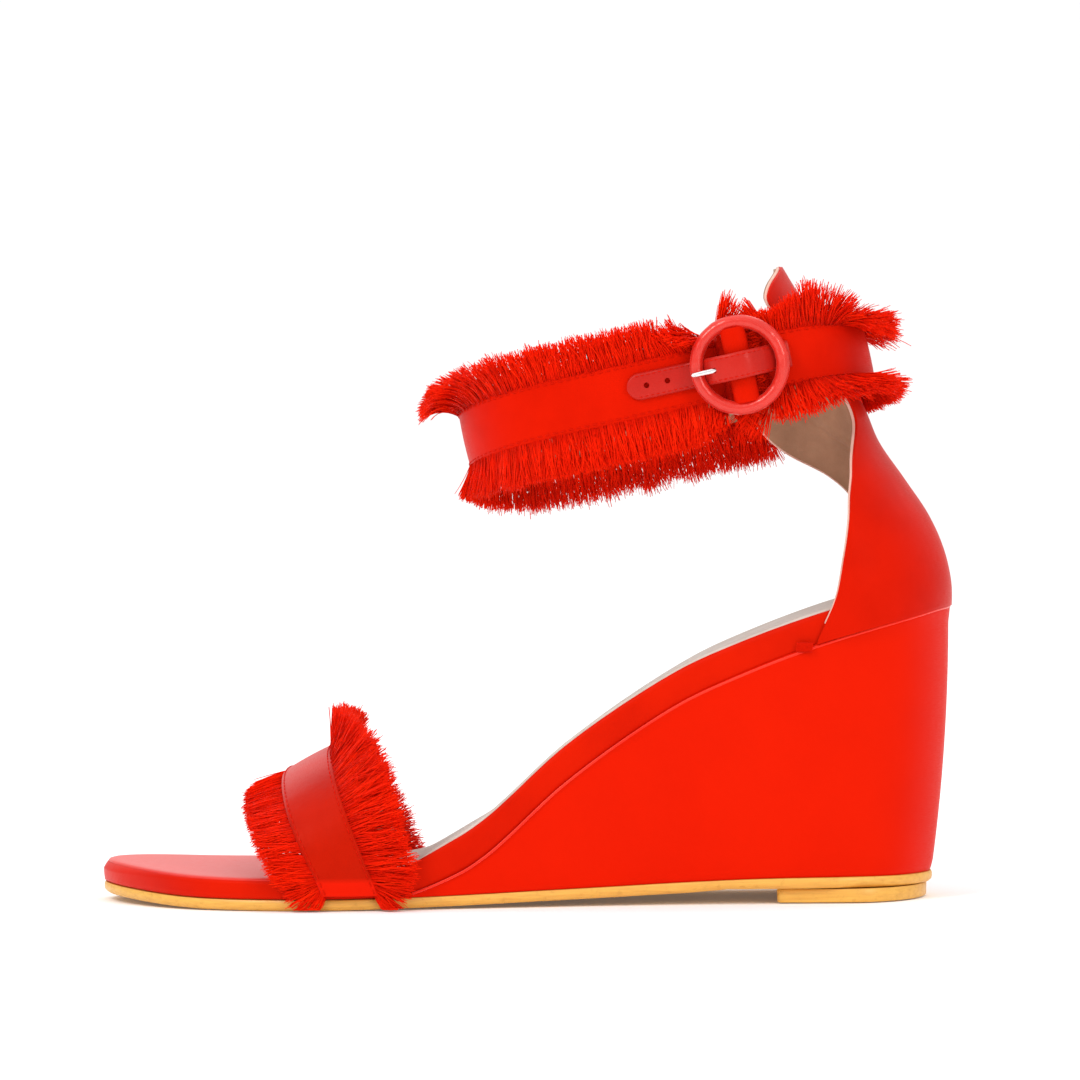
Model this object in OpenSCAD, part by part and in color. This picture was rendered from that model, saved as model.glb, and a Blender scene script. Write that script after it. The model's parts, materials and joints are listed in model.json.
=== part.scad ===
// Left open-toe wedge sandal with a fringed toe band and a fringed, buckled ankle band.
// Axes: toe to -X, heel to +X, inner side of the foot to +Y, up to +Z. Millimetres.
// Origin: centre of the heel top piece's flat underside, on the ground.

/* [Sole] */
// Distance from the origin to the tip of the toe
toe_reach = 198.5; // [185:0.5:205]
// Distance from the origin to the back of the heel seat
heel_reach = 25.3; // [23:0.5:28]
// Width across the ball of the foot
ball_width = 82; // [76:1:90]
// Width across the heel seat
heel_width = 56; // [52:1:60]
// Height of the wedge at the back of the heel
wedge_height = 76; // [66:1:84]
// Thickness of the outsole
outsole_t = 3; // [2:0.5:4]
// Thickness of the forefoot platform above the outsole
platform_t = 6; // [5:0.5:8]
// Thickness of the heel top piece
top_piece_t = 3.6; // [3:0.2:5]
// Length of the heel top piece along the foot
top_piece_len = 37.4; // [30:1:38]
// Thickness of the satin that covers the wedge and the rand
cover_t = 0.8; // [0.6:0.1:1.2]

/* [Toe band] */
// Width of the satin strip of the toe band
vamp_w = 15; // [12:1:18]
// Height of the toe band's arch above the platform
vamp_rise = 26.5; // [20:0.5:30]
// Length of the front fringe's threads
front_fringe_len = 10; // [6:1:12]
// Length of the rear fringe's threads
rear_fringe_len = 13; // [8:1:14]

/* [Heel counter] */
// Height of the counter's pointed tip
counter_top_z = 165; // [160:1:170]
// Thickness of the counter's satin outer
counter_t = 1; // [0.8:0.1:1.2]

/* [Ankle band] */
// Height of the satin strip of the ankle band
band_h = 15; // [12:1:16]
// Thickness of the satin strip
band_t = 1.2; // [0.8:0.1:1.4]
// Thickness of the lining
lining_t = 1; // [0.8:0.1:1.2]
// Inner length of the ankle loop, front to back
loop_len = 102; // [98:1:106]
// Inner width of the ankle loop
loop_w = 48; // [47:1:50]
// Rise of the loop towards the heel, in degrees
loop_tilt = 12; // [8:1:14]
// Fall of the loop towards the inner side, in degrees
loop_roll = 9; // [4:1:10]
// Length of the ankle fringes' threads
ankle_fringe_len = 11; // [8:1:12]

/* [Buckle] */
// Outer diameter of the covered ring
ring_d = 26; // [24:0.5:28]
// Thickness of the ring's covered wire
ring_wire = 3.5; // [3:0.1:3.8]
// Diameter of the bar across the ring
bar_d = 2.2; // [1.8:0.1:2.4]
// Diameter of the prong
prong_d = 1.5; // [1.2:0.1:1.6]
// Width of the buckle strap
strap_w = 7; // [6:0.5:8]
// Thickness of the buckle strap
strap_t = 1.2; // [1:0.1:1.4]

/* [Hidden] */

gap = 0.05;                       // space left above and below pieces that are glued or sewn together
side_gap = 0.15;                  // space left between the sole's inner layers and its satin cover
red = "#d81c0a";
dark_red = "#a81206";
tan = "#d9a24a";
lining_brown = "#a37a5c";
greige = "#b9a79b";
steel = "#c8c8cc";
board_grey = "#8f8578";

// ---- Shared functions ----

function mix(a, b, t) = a + (b - a) * t;
function clamp(v, lo, hi) = min(max(v, lo), hi);
function unit(v) = v / norm(v);
function steps(a, b, n) = [for (i = [0:n]) mix(a, b, i / n)];
// Stations from a to b that crowd together at both ends
function eased_steps(a, b, n) = [for (i = [0:n]) mix(a, b, (1 - cos(180 * i / n)) / 2)];

// Catmull-Rom curve through four points
function curve(a, b, c, d, t) =
  0.5 * (2 * b + (c - a) * t + (2 * a - 5 * b + 4 * c - d) * t * t + (3 * b - a - 3 * c + d) * t * t * t);

// Smooth value at x of a table of [x, value] rows with rising x
function along(rows, x) =
  let (
    last = len(rows) - 1,
    xc = clamp(x, rows[0][0], rows[last][0]),
    i = max([for (k = [0:last - 1]) if (rows[k][0] <= xc) k]),
    span = rows[i + 1][0] - rows[i][0],
    t = (xc - rows[i][0]) / span,
    m0 = slope(rows, i) * span,
    m1 = slope(rows, i + 1) * span,
    t2 = t * t,
    t3 = t2 * t
  )
  (2 * t3 - 3 * t2 + 1) * rows[i][1] + (t3 - 2 * t2 + t) * m0
    + (3 * t2 - 2 * t3) * rows[i + 1][1] + (t3 - t2) * m1;
function slope(rows, i) =
  let (a = max(i - 1, 0), b = min(i + 1, len(rows) - 1))
  (rows[b][1] - rows[a][1]) / (rows[b][0] - rows[a][0]);

// Closed solid between two grids of points; closed joins the last column of each row to the first
module sheet(outer, inner, closed = false) {
  rows = len(outer);
  cols = len(outer[0]);
  count = rows * cols;
  wrap = closed ? cols - 1 : cols - 2;
  points = concat([for (r = outer) for (p = r) p], [for (r = inner) for (p = r) p]);
  end = rows - 1;
  side = cols - 1;
  quads = concat(
    [for (r = [0:rows - 2]) for (c = [0:wrap]) [at(r, c), at(r, c + 1), at(r + 1, c + 1), at(r + 1, c)]],
    [for (r = [0:rows - 2]) for (c = [0:wrap]) [in(r + 1, c), in(r + 1, c + 1), in(r, c + 1), in(r, c)]],
    [for (c = [0:wrap]) [in(0, c), in(0, c + 1), at(0, c + 1), at(0, c)]],
    [for (c = [0:wrap]) [at(end, c), at(end, c + 1), in(end, c + 1), in(end, c)]],
    closed ? [] : [for (r = [0:rows - 2]) [at(r, 0), at(r + 1, 0), in(r + 1, 0), in(r, 0)]],
    closed ? [] : [for (r = [0:rows - 2]) [in(r, side), in(r + 1, side), at(r + 1, side), at(r, side)]]
  );
  polyhedron(
    points = points,
    faces = [for (q = quads) for (f = [[q[0], q[1], q[2]], [q[0], q[2], q[3]]]) f],
    convexity = 6
  );
  function at(r, c) = r * cols + c % cols;      // point of the outer grid
  function in(r, c) = at(r, c) + count;         // point of the inner grid
}

// ---- Sole outline and profile ----

half_heel = heel_width / 2;
heel_centre_x = heel_reach - half_heel;
k_len = (toe_reach + heel_centre_x) / 192.6;    // stretch of the foot ahead of the heel
k_ball = ball_width / 82;
diagonal = half_heel * sin(45);

// Plan outline seen from above: toe tip, inner side, heel, outer side
outline_points = [
  ahead(192.6, 4), ahead(184.5, 21 * k_ball), ahead(163, 34 * k_ball), ahead(130, 39 * k_ball),
  ahead(97, 33), ahead(52, half_heel - 4.5), ahead(22, half_heel - 1.2),
  [heel_centre_x, half_heel], [heel_centre_x + diagonal, diagonal],
  [heel_reach, 0], [heel_centre_x + diagonal, -diagonal], [heel_centre_x, -half_heel],
  ahead(22, -half_heel - 0.2), ahead(52, -half_heel - 1.2), ahead(97, -37),
  ahead(130, -43 * k_ball), ahead(163, -36.5 * k_ball), ahead(184.5, -17 * k_ball)
];
function ahead(distance, y) = [heel_centre_x - distance * k_len, y];
outline_count = len(outline_points);
heel_share = 9 / outline_count;                 // share of the outline from the toe tip to the heel tip

function outline(s) =
  let (f = (s - floor(s)) * outline_count, i = floor(f), n = outline_count)
  curve(
    outline_points[(i + n - 1) % n], outline_points[i % n],
    outline_points[(i + 1) % n], outline_points[(i + 2) % n], f - i
  );
// Outline moved inwards by inset; it runs clockwise seen from above
function inset_outline(s, inset) =
  let (d = unit(outline(s + 0.002) - outline(s - 0.002)))
  outline(s) + inset * [d[1], -d[0]];

// Half width at x, on the inner (side 1) or the outer (side -1) half, found by halving
function edge_y(x, side, inset) =
  side > 0 ? halve(x, inset, 0, heel_share, 14)[1] : halve(x, inset, 1, heel_share, 14)[1];
function halve(x, inset, toe_s, heel_s, n) =
  let (mid = (toe_s + heel_s) / 2, p = inset_outline(mid, inset))
  n == 0 ? p : p[0] < x ? halve(x, inset, mid, heel_s, n - 1) : halve(x, inset, toe_s, mid, n - 1);

k_h = wedge_height / 76;
break_x = heel_centre_x - 109 * k_len;          // where the sole starts to climb
function at_share(f) = mix(break_x, heel_reach, f);

// Top of the wedge, from the break to the heel
wedge_line = [
  [at_share(0), outsole_t + 0.3], [at_share(0.13), 11.8 * k_h], [at_share(0.295), 32.2 * k_h],
  [at_share(0.49), 50.8 * k_h], [at_share(0.62), 59.3 * k_h], [at_share(0.765), 66.9 * k_h],
  [at_share(0.88), 71.6 * k_h], [at_share(1), wedge_height]
];
// Vertical thickness of the insole unit: board, foam and sock
unit_line = [
  [-toe_reach, platform_t], [break_x - 12, platform_t], [break_x + 14, platform_t + 4.5],
  [-40, 9.8], [0, 9], [heel_reach, 8.2]
];
// Underside of the outsole: toe spring, flat tread, arch and heel
tread_line = [
  [-toe_reach, 1.8], [-toe_reach + 30, 0], [break_x - 4, 0], [-70, 1.6], [-top_piece_len / 2, top_piece_t],
  [heel_reach, top_piece_t]
];
function tread_z(x) = along(tread_line, x);
function sole_top_z(x) = tread_z(x) + outsole_t;
function wedge_z(x) = x < break_x ? sole_top_z(x) : max(along(wedge_line, x), sole_top_z(x));
function unit_z(x, share) = wedge_z(x) + along(unit_line, x) * share;

board_share = 0.34;
foam_share = 0.86;

// The wedge narrows and rakes forward towards the ground behind the waist
rake_x = 4.8;
taper = 0.13;
function ground(p) =
  let (k = clamp((p[0] + 60) / (heel_reach + 60), 0, 1))
  [p[0] - rake_x * k * k, p[1] * (1 - taper * k)];

end_trim = 0.35;                                // the lofts stop this short of the outline's two tips
station_count = 60;
foot_stations = eased_steps(-toe_reach + end_trim, heel_reach - end_trim, station_count);
// The foot's shared stations from x0 to x1, so that layers laid on each other bend at the same places
function stations_between(x0, x1) =
  concat([x0], [for (x = foot_stations) if (x > x0 + 0.2 && x < x1 - 0.2) x], [x1]);

// Solid across the foot between two heights given as functions of x
module across(x0, x1, inset, low, high, at_ground = false) {
  stations = stations_between(x0, x1);
  sheet(
    [for (x = stations) edge_pair(x, inset, high, at_ground)],
    [for (x = stations) edge_pair(x, inset, low, at_ground)]
  );
}
function edge_pair(x, inset, height, at_ground) =
  [for (side = [1, -1]) lift_point([x, edge_y(x, side, inset)], height, at_ground)];
function lift_point(p, height, at_ground) =
  let (q = at_ground ? ground(p) : p) [q[0], q[1], height(q[0])];

module outsole() {
  color(tan)
    difference() {
      across(-toe_reach + end_trim, heel_reach - end_trim, 0, function(x) tread_z(x),
        function(x) sole_top_z(x) - gap, true);
      nail_places() cylinder(r = nail_r + hole_clearance, h = 40, center = true, $fn = 32);
      translate([-top_piece_len, -heel_width, -1])
        cube([2 * top_piece_len, 2 * heel_width, top_piece_t + 1 + gap]);
    }
}

// ---- Heel top piece and its nails ----

inside = cover_t + side_gap;                    // inset of the layers inside the satin cover
nail_r = 1.1;
hole_clearance = 0.03;
nail_len = 14;
module nail_places() {
  for (p = [[-11, 11], [-11, -11], [11, 0]]) translate([p[0], p[1], 0]) children();
}
module heel_top_piece() {
  half = top_piece_len / 2;
  side = half_heel * (1 - taper) - 0.4;
  back = half - side * 0.75;
  color(tan)
    difference() {
      linear_extrude(height = top_piece_t - gap)
        union() {
          translate([-half, -side]) square([half + back, 2 * side]);
          intersection() {
            translate([back, 0]) scale([0.75, 1]) circle(r = side, $fn = 96);
            translate([back - 1, -side]) square([side, 2 * side]);
          }
        }
      nail_places() cylinder(r = nail_r + hole_clearance, h = 40, center = true, $fn = 32);
    }
}
module top_piece_nails() {
  color(steel)
    nail_places()
      translate([0, 0, 0.4]) cylinder(r = nail_r, h = nail_len, $fn = 32);
}

// ---- Wedge ----

screw_r = 1.6;
screw_len = 26;
screw_head_r = 2.6;
screw_head_t = 0.8;
screw_x = [-34, -14, 4];
module screw_places() {
  for (x = screw_x) translate([x, 0, unit_z(x, board_share) - 1.3]) children();
}
shank_w = 12;
shank_t = 1.4;
shank_front = break_x + 18;
shank_back = -42;
groove_edges = [shank_w / 2 + 0.3, shank_w / 2 + 0.2, -shank_w / 2 - 0.2, -shank_w / 2 - 0.3];
groove_depths = [0, shank_t + 0.4, shank_t + 0.4, 0];
function in_groove(x) = x > shank_front - 6 && x < shank_back + 6 ? 1 : 0;
// The core has a groove for the shank along the middle of its top
module wedge_core() {
  stations = stations_between(break_x + 8, heel_reach - inside - end_trim);
  color(board_grey)
    difference() {
      sheet([for (x = stations) core_top_row(x)], [for (x = stations) core_low_row(x)]);
      nail_places()
        cylinder(r = nail_r + hole_clearance, h = 2 * (nail_len + 0.6), center = true, $fn = 32);
      screw_places() {
        translate([0, 0, -screw_len - 0.2])
          cylinder(r = screw_r + hole_clearance, h = 2 * screw_len, $fn = 32);
        translate([0, 0, -screw_head_t - 0.05])
          cylinder(r = screw_head_r + hole_clearance, h = 20, $fn = 32);
      }
    }
}
// Places across the core at x: its two edges with the groove's four lines between them
function core_row(x) = concat(
  [edge_y(x, 1, inside)],
  groove_edges * groove_room(x),
  [edge_y(x, -1, inside)]
);
function core_top_row(x) =
  let (depths = concat([0], groove_depths * in_groove(x), [0]), ys = core_row(x))
  [for (k = [0:5]) [x, ys[k], wedge_z(x) - gap - depths[k]]];
function core_low_row(x) =
  [for (y = core_row(x)) lift_point([x, y], function(x) sole_top_z(x) + gap, true)];
// Narrows the groove's lines to nothing at the round of the heel, where the foot is narrower than the groove
function groove_room(x) = clamp((heel_reach - x) / 20, 0.1, 1);
// Even shares of the outline, shared by the covers that meet along it
loop_count = 180;
loop_shares = [for (i = [0:loop_count - 1]) i / loop_count];
// Outline stretch from the outer side, round the heel, to the inner side, behind x
function round_heel(x, inset) =
  let (behind = [for (s = loop_shares) if (outline(s)[0] > x) s], n = len(behind) - 1)
  [for (i = [n:-1:0]) inset_outline(behind[i], inset)];

module wedge_cover() {
  outer = round_heel(break_x + 12, 0);
  inner = round_heel(break_x + 12, cover_t);
  color(red)
    sheet(
      [[for (p = outer) lift_point(p, function(x) sole_top_z(x) + gap, true)],
        [for (p = outer) lift_point(p, function(x) wedge_z(x) - gap, false)]],
      [[for (p = inner) lift_point(p, function(x) sole_top_z(x) + gap, true)],
        [for (p = inner) lift_point(p, function(x) wedge_z(x) - gap, false)]]
    );
}

// ---- Insole unit ----

module insole_board() {
  color(board_grey)
    difference() {
      across(-toe_reach + inside + end_trim, heel_reach - inside - end_trim, inside,
        function(x) unit_z(x, 0) + gap, function(x) unit_z(x, board_share) - gap);
      screw_places() {
        cylinder(r = screw_r + hole_clearance, h = 40, center = true, $fn = 32);
        translate([0, 0, -screw_head_t - 0.05]) cylinder(r = screw_head_r + hole_clearance, h = 20, $fn = 32);
      }
    }
}
module shank() {
  stations = steps(shank_front, shank_back, 20);
  color(steel)
    sheet(
      [for (x = stations) [for (side = [1, -1]) [x, side * shank_w / 2, wedge_z(x) - 3 * gap]]],
      [for (x = stations) [for (side = [1, -1]) [x, side * shank_w / 2, wedge_z(x) - 3 * gap - shank_t]]]
    );
}
module heel_screws() {
  color(steel)
    screw_places() {
      translate([0, 0, -screw_len]) cylinder(r = screw_r, h = screw_len, $fn = 32);
      translate([0, 0, -screw_head_t]) cylinder(r = screw_head_r, h = screw_head_t, $fn = 32);
    }
}
module footbed_foam() {
  color("#e8dcc8")
    across(-toe_reach + inside + end_trim, heel_reach - inside - end_trim, inside,
      function(x) unit_z(x, board_share) + gap, function(x) unit_z(x, foam_share) - gap);
}
cover_end_x = break_x - 36;                     // the red toe cover meets the sock under the toe band
module sock_lining() {
  color(greige)
    across(cover_end_x + 0.1, heel_reach - inside - end_trim, inside,
      function(x) unit_z(x, foam_share) + gap, function(x) unit_z(x, 1));
}
module toe_cover() {
  color(red)
    across(-toe_reach + inside + end_trim, cover_end_x, inside,
      function(x) unit_z(x, foam_share) + gap, function(x) unit_z(x, 1));
}
module rand_cover() {
  color(red)
    sheet(
      [rand_loop(0, 0, gap), rand_loop(0, 1, 0)],
      [rand_loop(cover_t, 0, gap), rand_loop(cover_t, 1, 0)],
      closed = true
    );
}
function rand_loop(inset, share, lift) =
  [for (s = loop_shares) lift_point(inset_outline(s, inset), function(x) unit_z(x, share) + lift, false)];

// ---- Toe band ----

vamp_foot_x = break_x - 14.5;                   // middle of the band where it meets the sole
vamp_lean = 0.424;                              // forward lean per unit of height
vamp_pitch = 28;                                // tilt of the strip at the crown, in degrees
vamp_low_z = outsole_t + 0.8;
vamp_base_z = outsole_t + platform_t;
vamp_side = 1.2;                                // space between the band's lining and the rand

// Point on the toe band: share 0 at the outer foot, 1 at the inner foot; across runs front to rear
function vamp_point(share, across_mm, out) =
  let (
    arch = clamp((share - 0.1) / 0.8, 0, 1) * 180,
    low = share < 0.1 ? share / 0.1 : share > 0.9 ? (1 - share) / 0.1 : 1,
    lift = pow(sin(arch), 0.8),
    spread = sign(cos(arch)) * pow(abs(cos(arch)), 0.9),
    half = edge_y(vamp_foot_x, 1, 0) * 0.5 - edge_y(vamp_foot_x, -1, 0) * 0.5 + vamp_side + out,
    middle = (edge_y(vamp_foot_x, 1, 0) + edge_y(vamp_foot_x, -1, 0)) / 2,
    pitch = vamp_pitch * lift,
    z = mix(vamp_low_z, vamp_base_z, low) + (vamp_rise + out) * lift
  )
  [
    vamp_foot_x - vamp_lean * (z - vamp_low_z) + across_mm * cos(pitch),
    middle - half * spread,
    z + across_mm * sin(pitch)
  ];
vamp_shares = steps(0, 1, 40);
module vamp_sheet(a0, a1, out0, out1, t, n = 2) {
  sheet(
    [for (a = steps(0, 1, n)) [for (s = vamp_shares) vamp_point(s, mix(a0, a1, a), mix(out0, out1, a) + t)]],
    [for (a = steps(0, 1, n)) [for (s = vamp_shares) vamp_point(s, mix(a0, a1, a), mix(out0, out1, a))]]
  );
}
vamp_half = vamp_w / 2;
module vamp_band() {
  color(red) vamp_sheet(-vamp_half, vamp_half, 1.0, 1.0, 1.0);
}
module vamp_lining() {
  color(lining_brown) vamp_sheet(-vamp_half + 0.5, vamp_half - 0.5, 0.1, 0.1, 0.8);
}
module vamp_front_fringe() {
  color(dark_red) vamp_sheet(-vamp_half - front_fringe_len, -vamp_half - 0.1, 2.2, 0.8, 1.2);
}
module vamp_rear_fringe() {
  color(dark_red) vamp_sheet(vamp_half + 0.1, vamp_half + rear_fringe_len, 0.8, 4.6, 1.2);
}

// ---- Heel counter ----

k_c = (counter_top_z - wedge_height) / 89;      // stretch of the counter above the wedge
function counter_z(z) = wedge_height + (z - 76) * k_c;
// Back line of the counter's outer face, against height
counter_back = [
  [counter_z(68), heel_reach + 1.3], [counter_z(82.7), heel_reach + 1.3], [counter_z(90.7), heel_reach - 1],
  [counter_z(99.7), heel_reach - 4.9], [counter_z(109), heel_reach - 11], [counter_z(119.5), heel_reach - 18],
  [counter_z(126), heel_reach - 20.6], [counter_z(165), heel_reach - 42.6]
];
// Plan radius of the heel part, against height
counter_radius = [
  [counter_z(68), half_heel + 1], [counter_z(84), half_heel + 1], [counter_z(100), half_heel - 1.8],
  [counter_z(109), half_heel - 4.2], [counter_z(115), half_heel - 5.4], [counter_z(165), half_heel - 6]
];
// Distance round the counter from its back line to the outer and inner side's front edges
outer_reach = [
  [counter_z(68), 48], [counter_z(76), 45], [counter_z(90.7), 39], [counter_z(103), 30.4],
  [counter_z(113), 21], [counter_z(125.6), 10], [counter_z(140), 12], [counter_z(151), 17],
  [counter_z(158), 17], [counter_z(163), 8], [counter_z(165), 1]
];
inner_reach = [
  [counter_z(68), 48], [counter_z(76), 45], [counter_z(89), 41], [counter_z(98), 36], [counter_z(105), 32.7],
  [counter_z(109), 34], [counter_z(115), 40], [counter_z(120), 42.5], [counter_z(127), 43],
  [counter_z(133), 30], [counter_z(140), 13], [counter_z(151), 18], [counter_z(158), 18],
  [counter_z(163), 8], [counter_z(165), 1]
];
function counter_point(z, round_mm, out) =
  let (
    r = along(counter_radius, z),
    quarter = r * PI / 2,
    turn_mm = clamp(abs(round_mm), 0, quarter),
    angle = turn_mm / r * 180 / PI,
    ahead_mm = abs(round_mm) - turn_mm
  )
  [
    along(counter_back, z) - counter_t - r + (r + out) * cos(angle) - ahead_mm,
    sign(round_mm) * (r + out) * sin(angle),
    z
  ];
// Layer of the counter from height z0 to z1, between two distances out from its sewn face
module counter_layer(z0, z1, out0, out1, rows, trim = 0) {
  heights = steps(z0, z1, rows);
  sheet(
    [for (z = heights) counter_row(z, out1, trim)],
    [for (z = heights) counter_row(z, out0, trim)]
  );
}
function counter_row(z, out, trim) =
  let (outer_end = max(along(outer_reach, z) - trim, 0.5), inner_end = max(along(inner_reach, z) - trim, 0.5))
  [for (s = steps(-outer_end, inner_end, 22)) counter_point(z, s, out)];

seat_z = unit_z(heel_reach, 1) + 0.4;           // the counter's inner layers stand just above the sock
module counter_outer() {
  color(red) counter_layer(wedge_height - 4, counter_z(164.9), 0, counter_t, 28);
}
module counter_stiffener() {
  color("#d8d2c4") counter_layer(seat_z, counter_z(98), -0.85, -0.2, 14, 3);
}
module counter_lining() {
  color(lining_brown) counter_layer(seat_z, counter_z(164), -2, -1.05, 26, 0.6);
}
// Short rows of dense stitches that hold the counter's two front corners to the rand
module counter_bartacks() {
  size = [4, 1.4, 1.6];
  color(dark_red)
    for (side = [1, -1])
      translate([heel_centre_x - 7.5, side * (half_heel + 1.5), wedge_height - 9])
        rotate([0, -20, 0]) cube(size, center = true);
}

// ---- Ankle loop ----

loop_centre = [-48, 0, 131.1];
loop_r = loop_w / 2;
straight = loop_len / cos(loop_tilt) - loop_w;
loop_u = [cos(loop_tilt), 0, sin(loop_tilt)];
loop_v = [0, 1, -tan(loop_roll)];
loop_h = [-sin(loop_tilt), 0, cos(loop_tilt)];
function loop_place(u, v, h) = loop_centre + u * loop_u + v * loop_v + h * loop_h;

// Distance round the loop, from the back through the inner side, the front and the outer side
quarter_turn = loop_r * PI / 2;
loop_total = 2 * straight + 4 * quarter_turn;
function loop_plan(mm, out) =
  mm < quarter_turn ? arc_plan(straight / 2, mm / quarter_turn * 90, out)
  : mm < quarter_turn + straight ? [straight / 2 - (mm - quarter_turn), loop_r + out]
  : mm < 3 * quarter_turn + straight
    ? arc_plan(-straight / 2, 90 + (mm - quarter_turn - straight) / quarter_turn * 90, out)
  : mm < 3 * quarter_turn + 2 * straight
    ? [-straight / 2 + (mm - 3 * quarter_turn - straight), -loop_r - out]
  : arc_plan(straight / 2, 270 + (mm - 3 * quarter_turn - 2 * straight) / quarter_turn * 90, out);
function arc_plan(u, angle, out) = [u + (loop_r + out) * cos(angle), (loop_r + out) * sin(angle)];
function loop_point(mm, out, h) = let (p = loop_plan(mm, out)) loop_place(p[0], p[1], h);

hinge_u = 24.5;                                 // where the front band leaves the counter's inner wing
hinge_mm = quarter_turn + straight / 2 - hinge_u;
tab_u = 17.4;                                   // outer end of the front band
front_end_mm = 3 * quarter_turn + straight + tab_u + straight / 2;
rear_start_mm = 3 * quarter_turn + 2 * straight + 0.5 - loop_total;

// Strip of the loop between two distances round it, two heights and two distances out
module loop_strip(mm0, mm1, h0, h1, out0, out1, t, rows = 1, cols = 48) {
  places = steps(mm0, mm1, cols);
  sheet(
    [for (k = steps(0, 1, rows)) loop_row(places, mix(out0, out1, k * k), mix(h0, h1, k))],
    [for (k = steps(0, 1, rows)) loop_row(places, mix(out0, out1, k * k) + t, mix(h0, h1, k))]
  );
}
function loop_row(places, out, h) = [for (mm = places) loop_at(mm, out, h)];
function loop_at(mm, out, h) = loop_point(mm < 0 ? mm + loop_total : mm, out, h);

half_band = band_h / 2;
band_out = lining_t + gap;
fringe_out = band_out - 0.2;
fringe_flare = 3.4;
fringe_t = 1.6;
fringe_gap = 7;                                 // fringes stop this short of the hinge
module front_strip(h0, h1, out0, out1, t, rows = 1, start = 0.2) {
  loop_strip(hinge_mm + start, front_end_mm, h0, h1, out0, out1, t, rows, 60);
}
module rear_strip(h0, h1, out0, out1, t, rows = 1, start = 0.2) {
  loop_strip(rear_start_mm, hinge_mm - start, h0, h1, out0, out1, t, rows, 36);
}
module ankle_rear_band() {
  color(red) rear_strip(-half_band, half_band, band_out, band_out, band_t);
}
module ankle_rear_lining() {
  color(lining_brown) rear_strip(-half_band + 0.3, half_band - 0.3, 0, 0, lining_t);
}
fringe_root = half_band + 0.1;
fringe_tip = half_band + ankle_fringe_len;
module rear_upper_fringe() {
  color(dark_red)
    rear_strip(fringe_root, fringe_tip, fringe_out, fringe_out + fringe_flare, fringe_t, 3, fringe_gap);
}
module rear_lower_fringe() {
  color(dark_red)
    rear_strip(-fringe_tip, -fringe_root, fringe_out, fringe_out, fringe_t, 3, fringe_gap);
}
module ankle_front_band() {
  color(red) front_strip(-half_band, half_band, band_out, band_out, band_t);
}
module ankle_front_lining() {
  color(lining_brown) front_strip(-half_band + 0.3, half_band - 0.3, 0, 0, lining_t);
}
module front_upper_fringe() {
  color(dark_red)
    front_strip(fringe_root, fringe_tip, fringe_out, fringe_out + fringe_flare, fringe_t, 3, fringe_gap);
}
module front_lower_fringe() {
  color(dark_red)
    front_strip(-fringe_root, -fringe_tip, fringe_out, fringe_out + fringe_flare, fringe_t, 3, fringe_gap);
}

// ---- Buckle ----

bar_u = 22.2;
bar_out = lining_t + band_t + 4.3;              // the bar stands this far out from the loop's inner face
bar_v = -loop_r - bar_out;
ring_r = (ring_d - ring_wire) / 2;
bar_r = bar_d / 2;
tab_t = 0.8;
tab_w = 12;
prong_slot = prong_d + 1.2;
module at_bar() {
  translate(loop_place(bar_u, bar_v, 0)) rotate([0, -loop_tilt, 0]) children();
}
module buckle_ring() {
  color(red)
    at_bar()
      rotate([90, 0, 0])
        rotate_extrude($fn = 96)
          translate([ring_r, 0]) circle(d = ring_wire, $fn = 32);
}
module buckle_bar() {
  color(steel) at_bar() cylinder(d = bar_d, h = 2 * ring_r, center = true, $fn = 48);
}
// Folded leather loop: a sleeve round the bar, with a window for the prong, and a tail to the band's end
module buckle_tab() {
  sleeve_r = bar_r + 0.08;
  tail_len = bar_u - tab_u - 0.4;
  color(red)
    at_bar()
      difference() {
        union() {
          cylinder(r = sleeve_r + tab_t, h = tab_w, center = true, $fn = 48);
          rotate([0, 0, -40])
            translate([-tail_len - 0.6, -sleeve_r - tab_t + 1.3, -tab_w / 2])
              cube([tail_len + 0.6, tab_t, tab_w]);
        }
        cylinder(r = sleeve_r, h = tab_w + 2, center = true, $fn = 48);
        translate([-10, -10, -prong_slot / 2]) cube([20, 20, prong_slot]);
      }
}
// Eye round the bar and a straight tine whose tip rests on the ring's front rim
module buckle_prong() {
  eye_r = bar_r + 0.06;
  rise = ring_wire / 2 + prong_d / 2 + 0.06;
  reach = ring_r + 1.3;
  base = [-eye_r - 0.1, -prong_d / 2 - 0.9];
  tip_angle = atan2(rise + base[1], reach + base[0]);
  tine_len = norm([reach + base[0], rise + base[1]]);
  color(steel)
    at_bar()
      difference() {
        union() {
          cylinder(r = eye_r + 0.8, h = prong_d, center = true, $fn = 48);
          translate([base[0], base[1], 0]) rotate([0, 0, tip_angle]) rotate([0, -90, 0]) {
            cylinder(d = prong_d, h = tine_len, $fn = 24);
            translate([0, 0, tine_len]) sphere(d = prong_d, $fn = 24);
          }
        }
        cylinder(r = eye_r, h = prong_d + 2, center = true, $fn = 48);
      }
}
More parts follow.
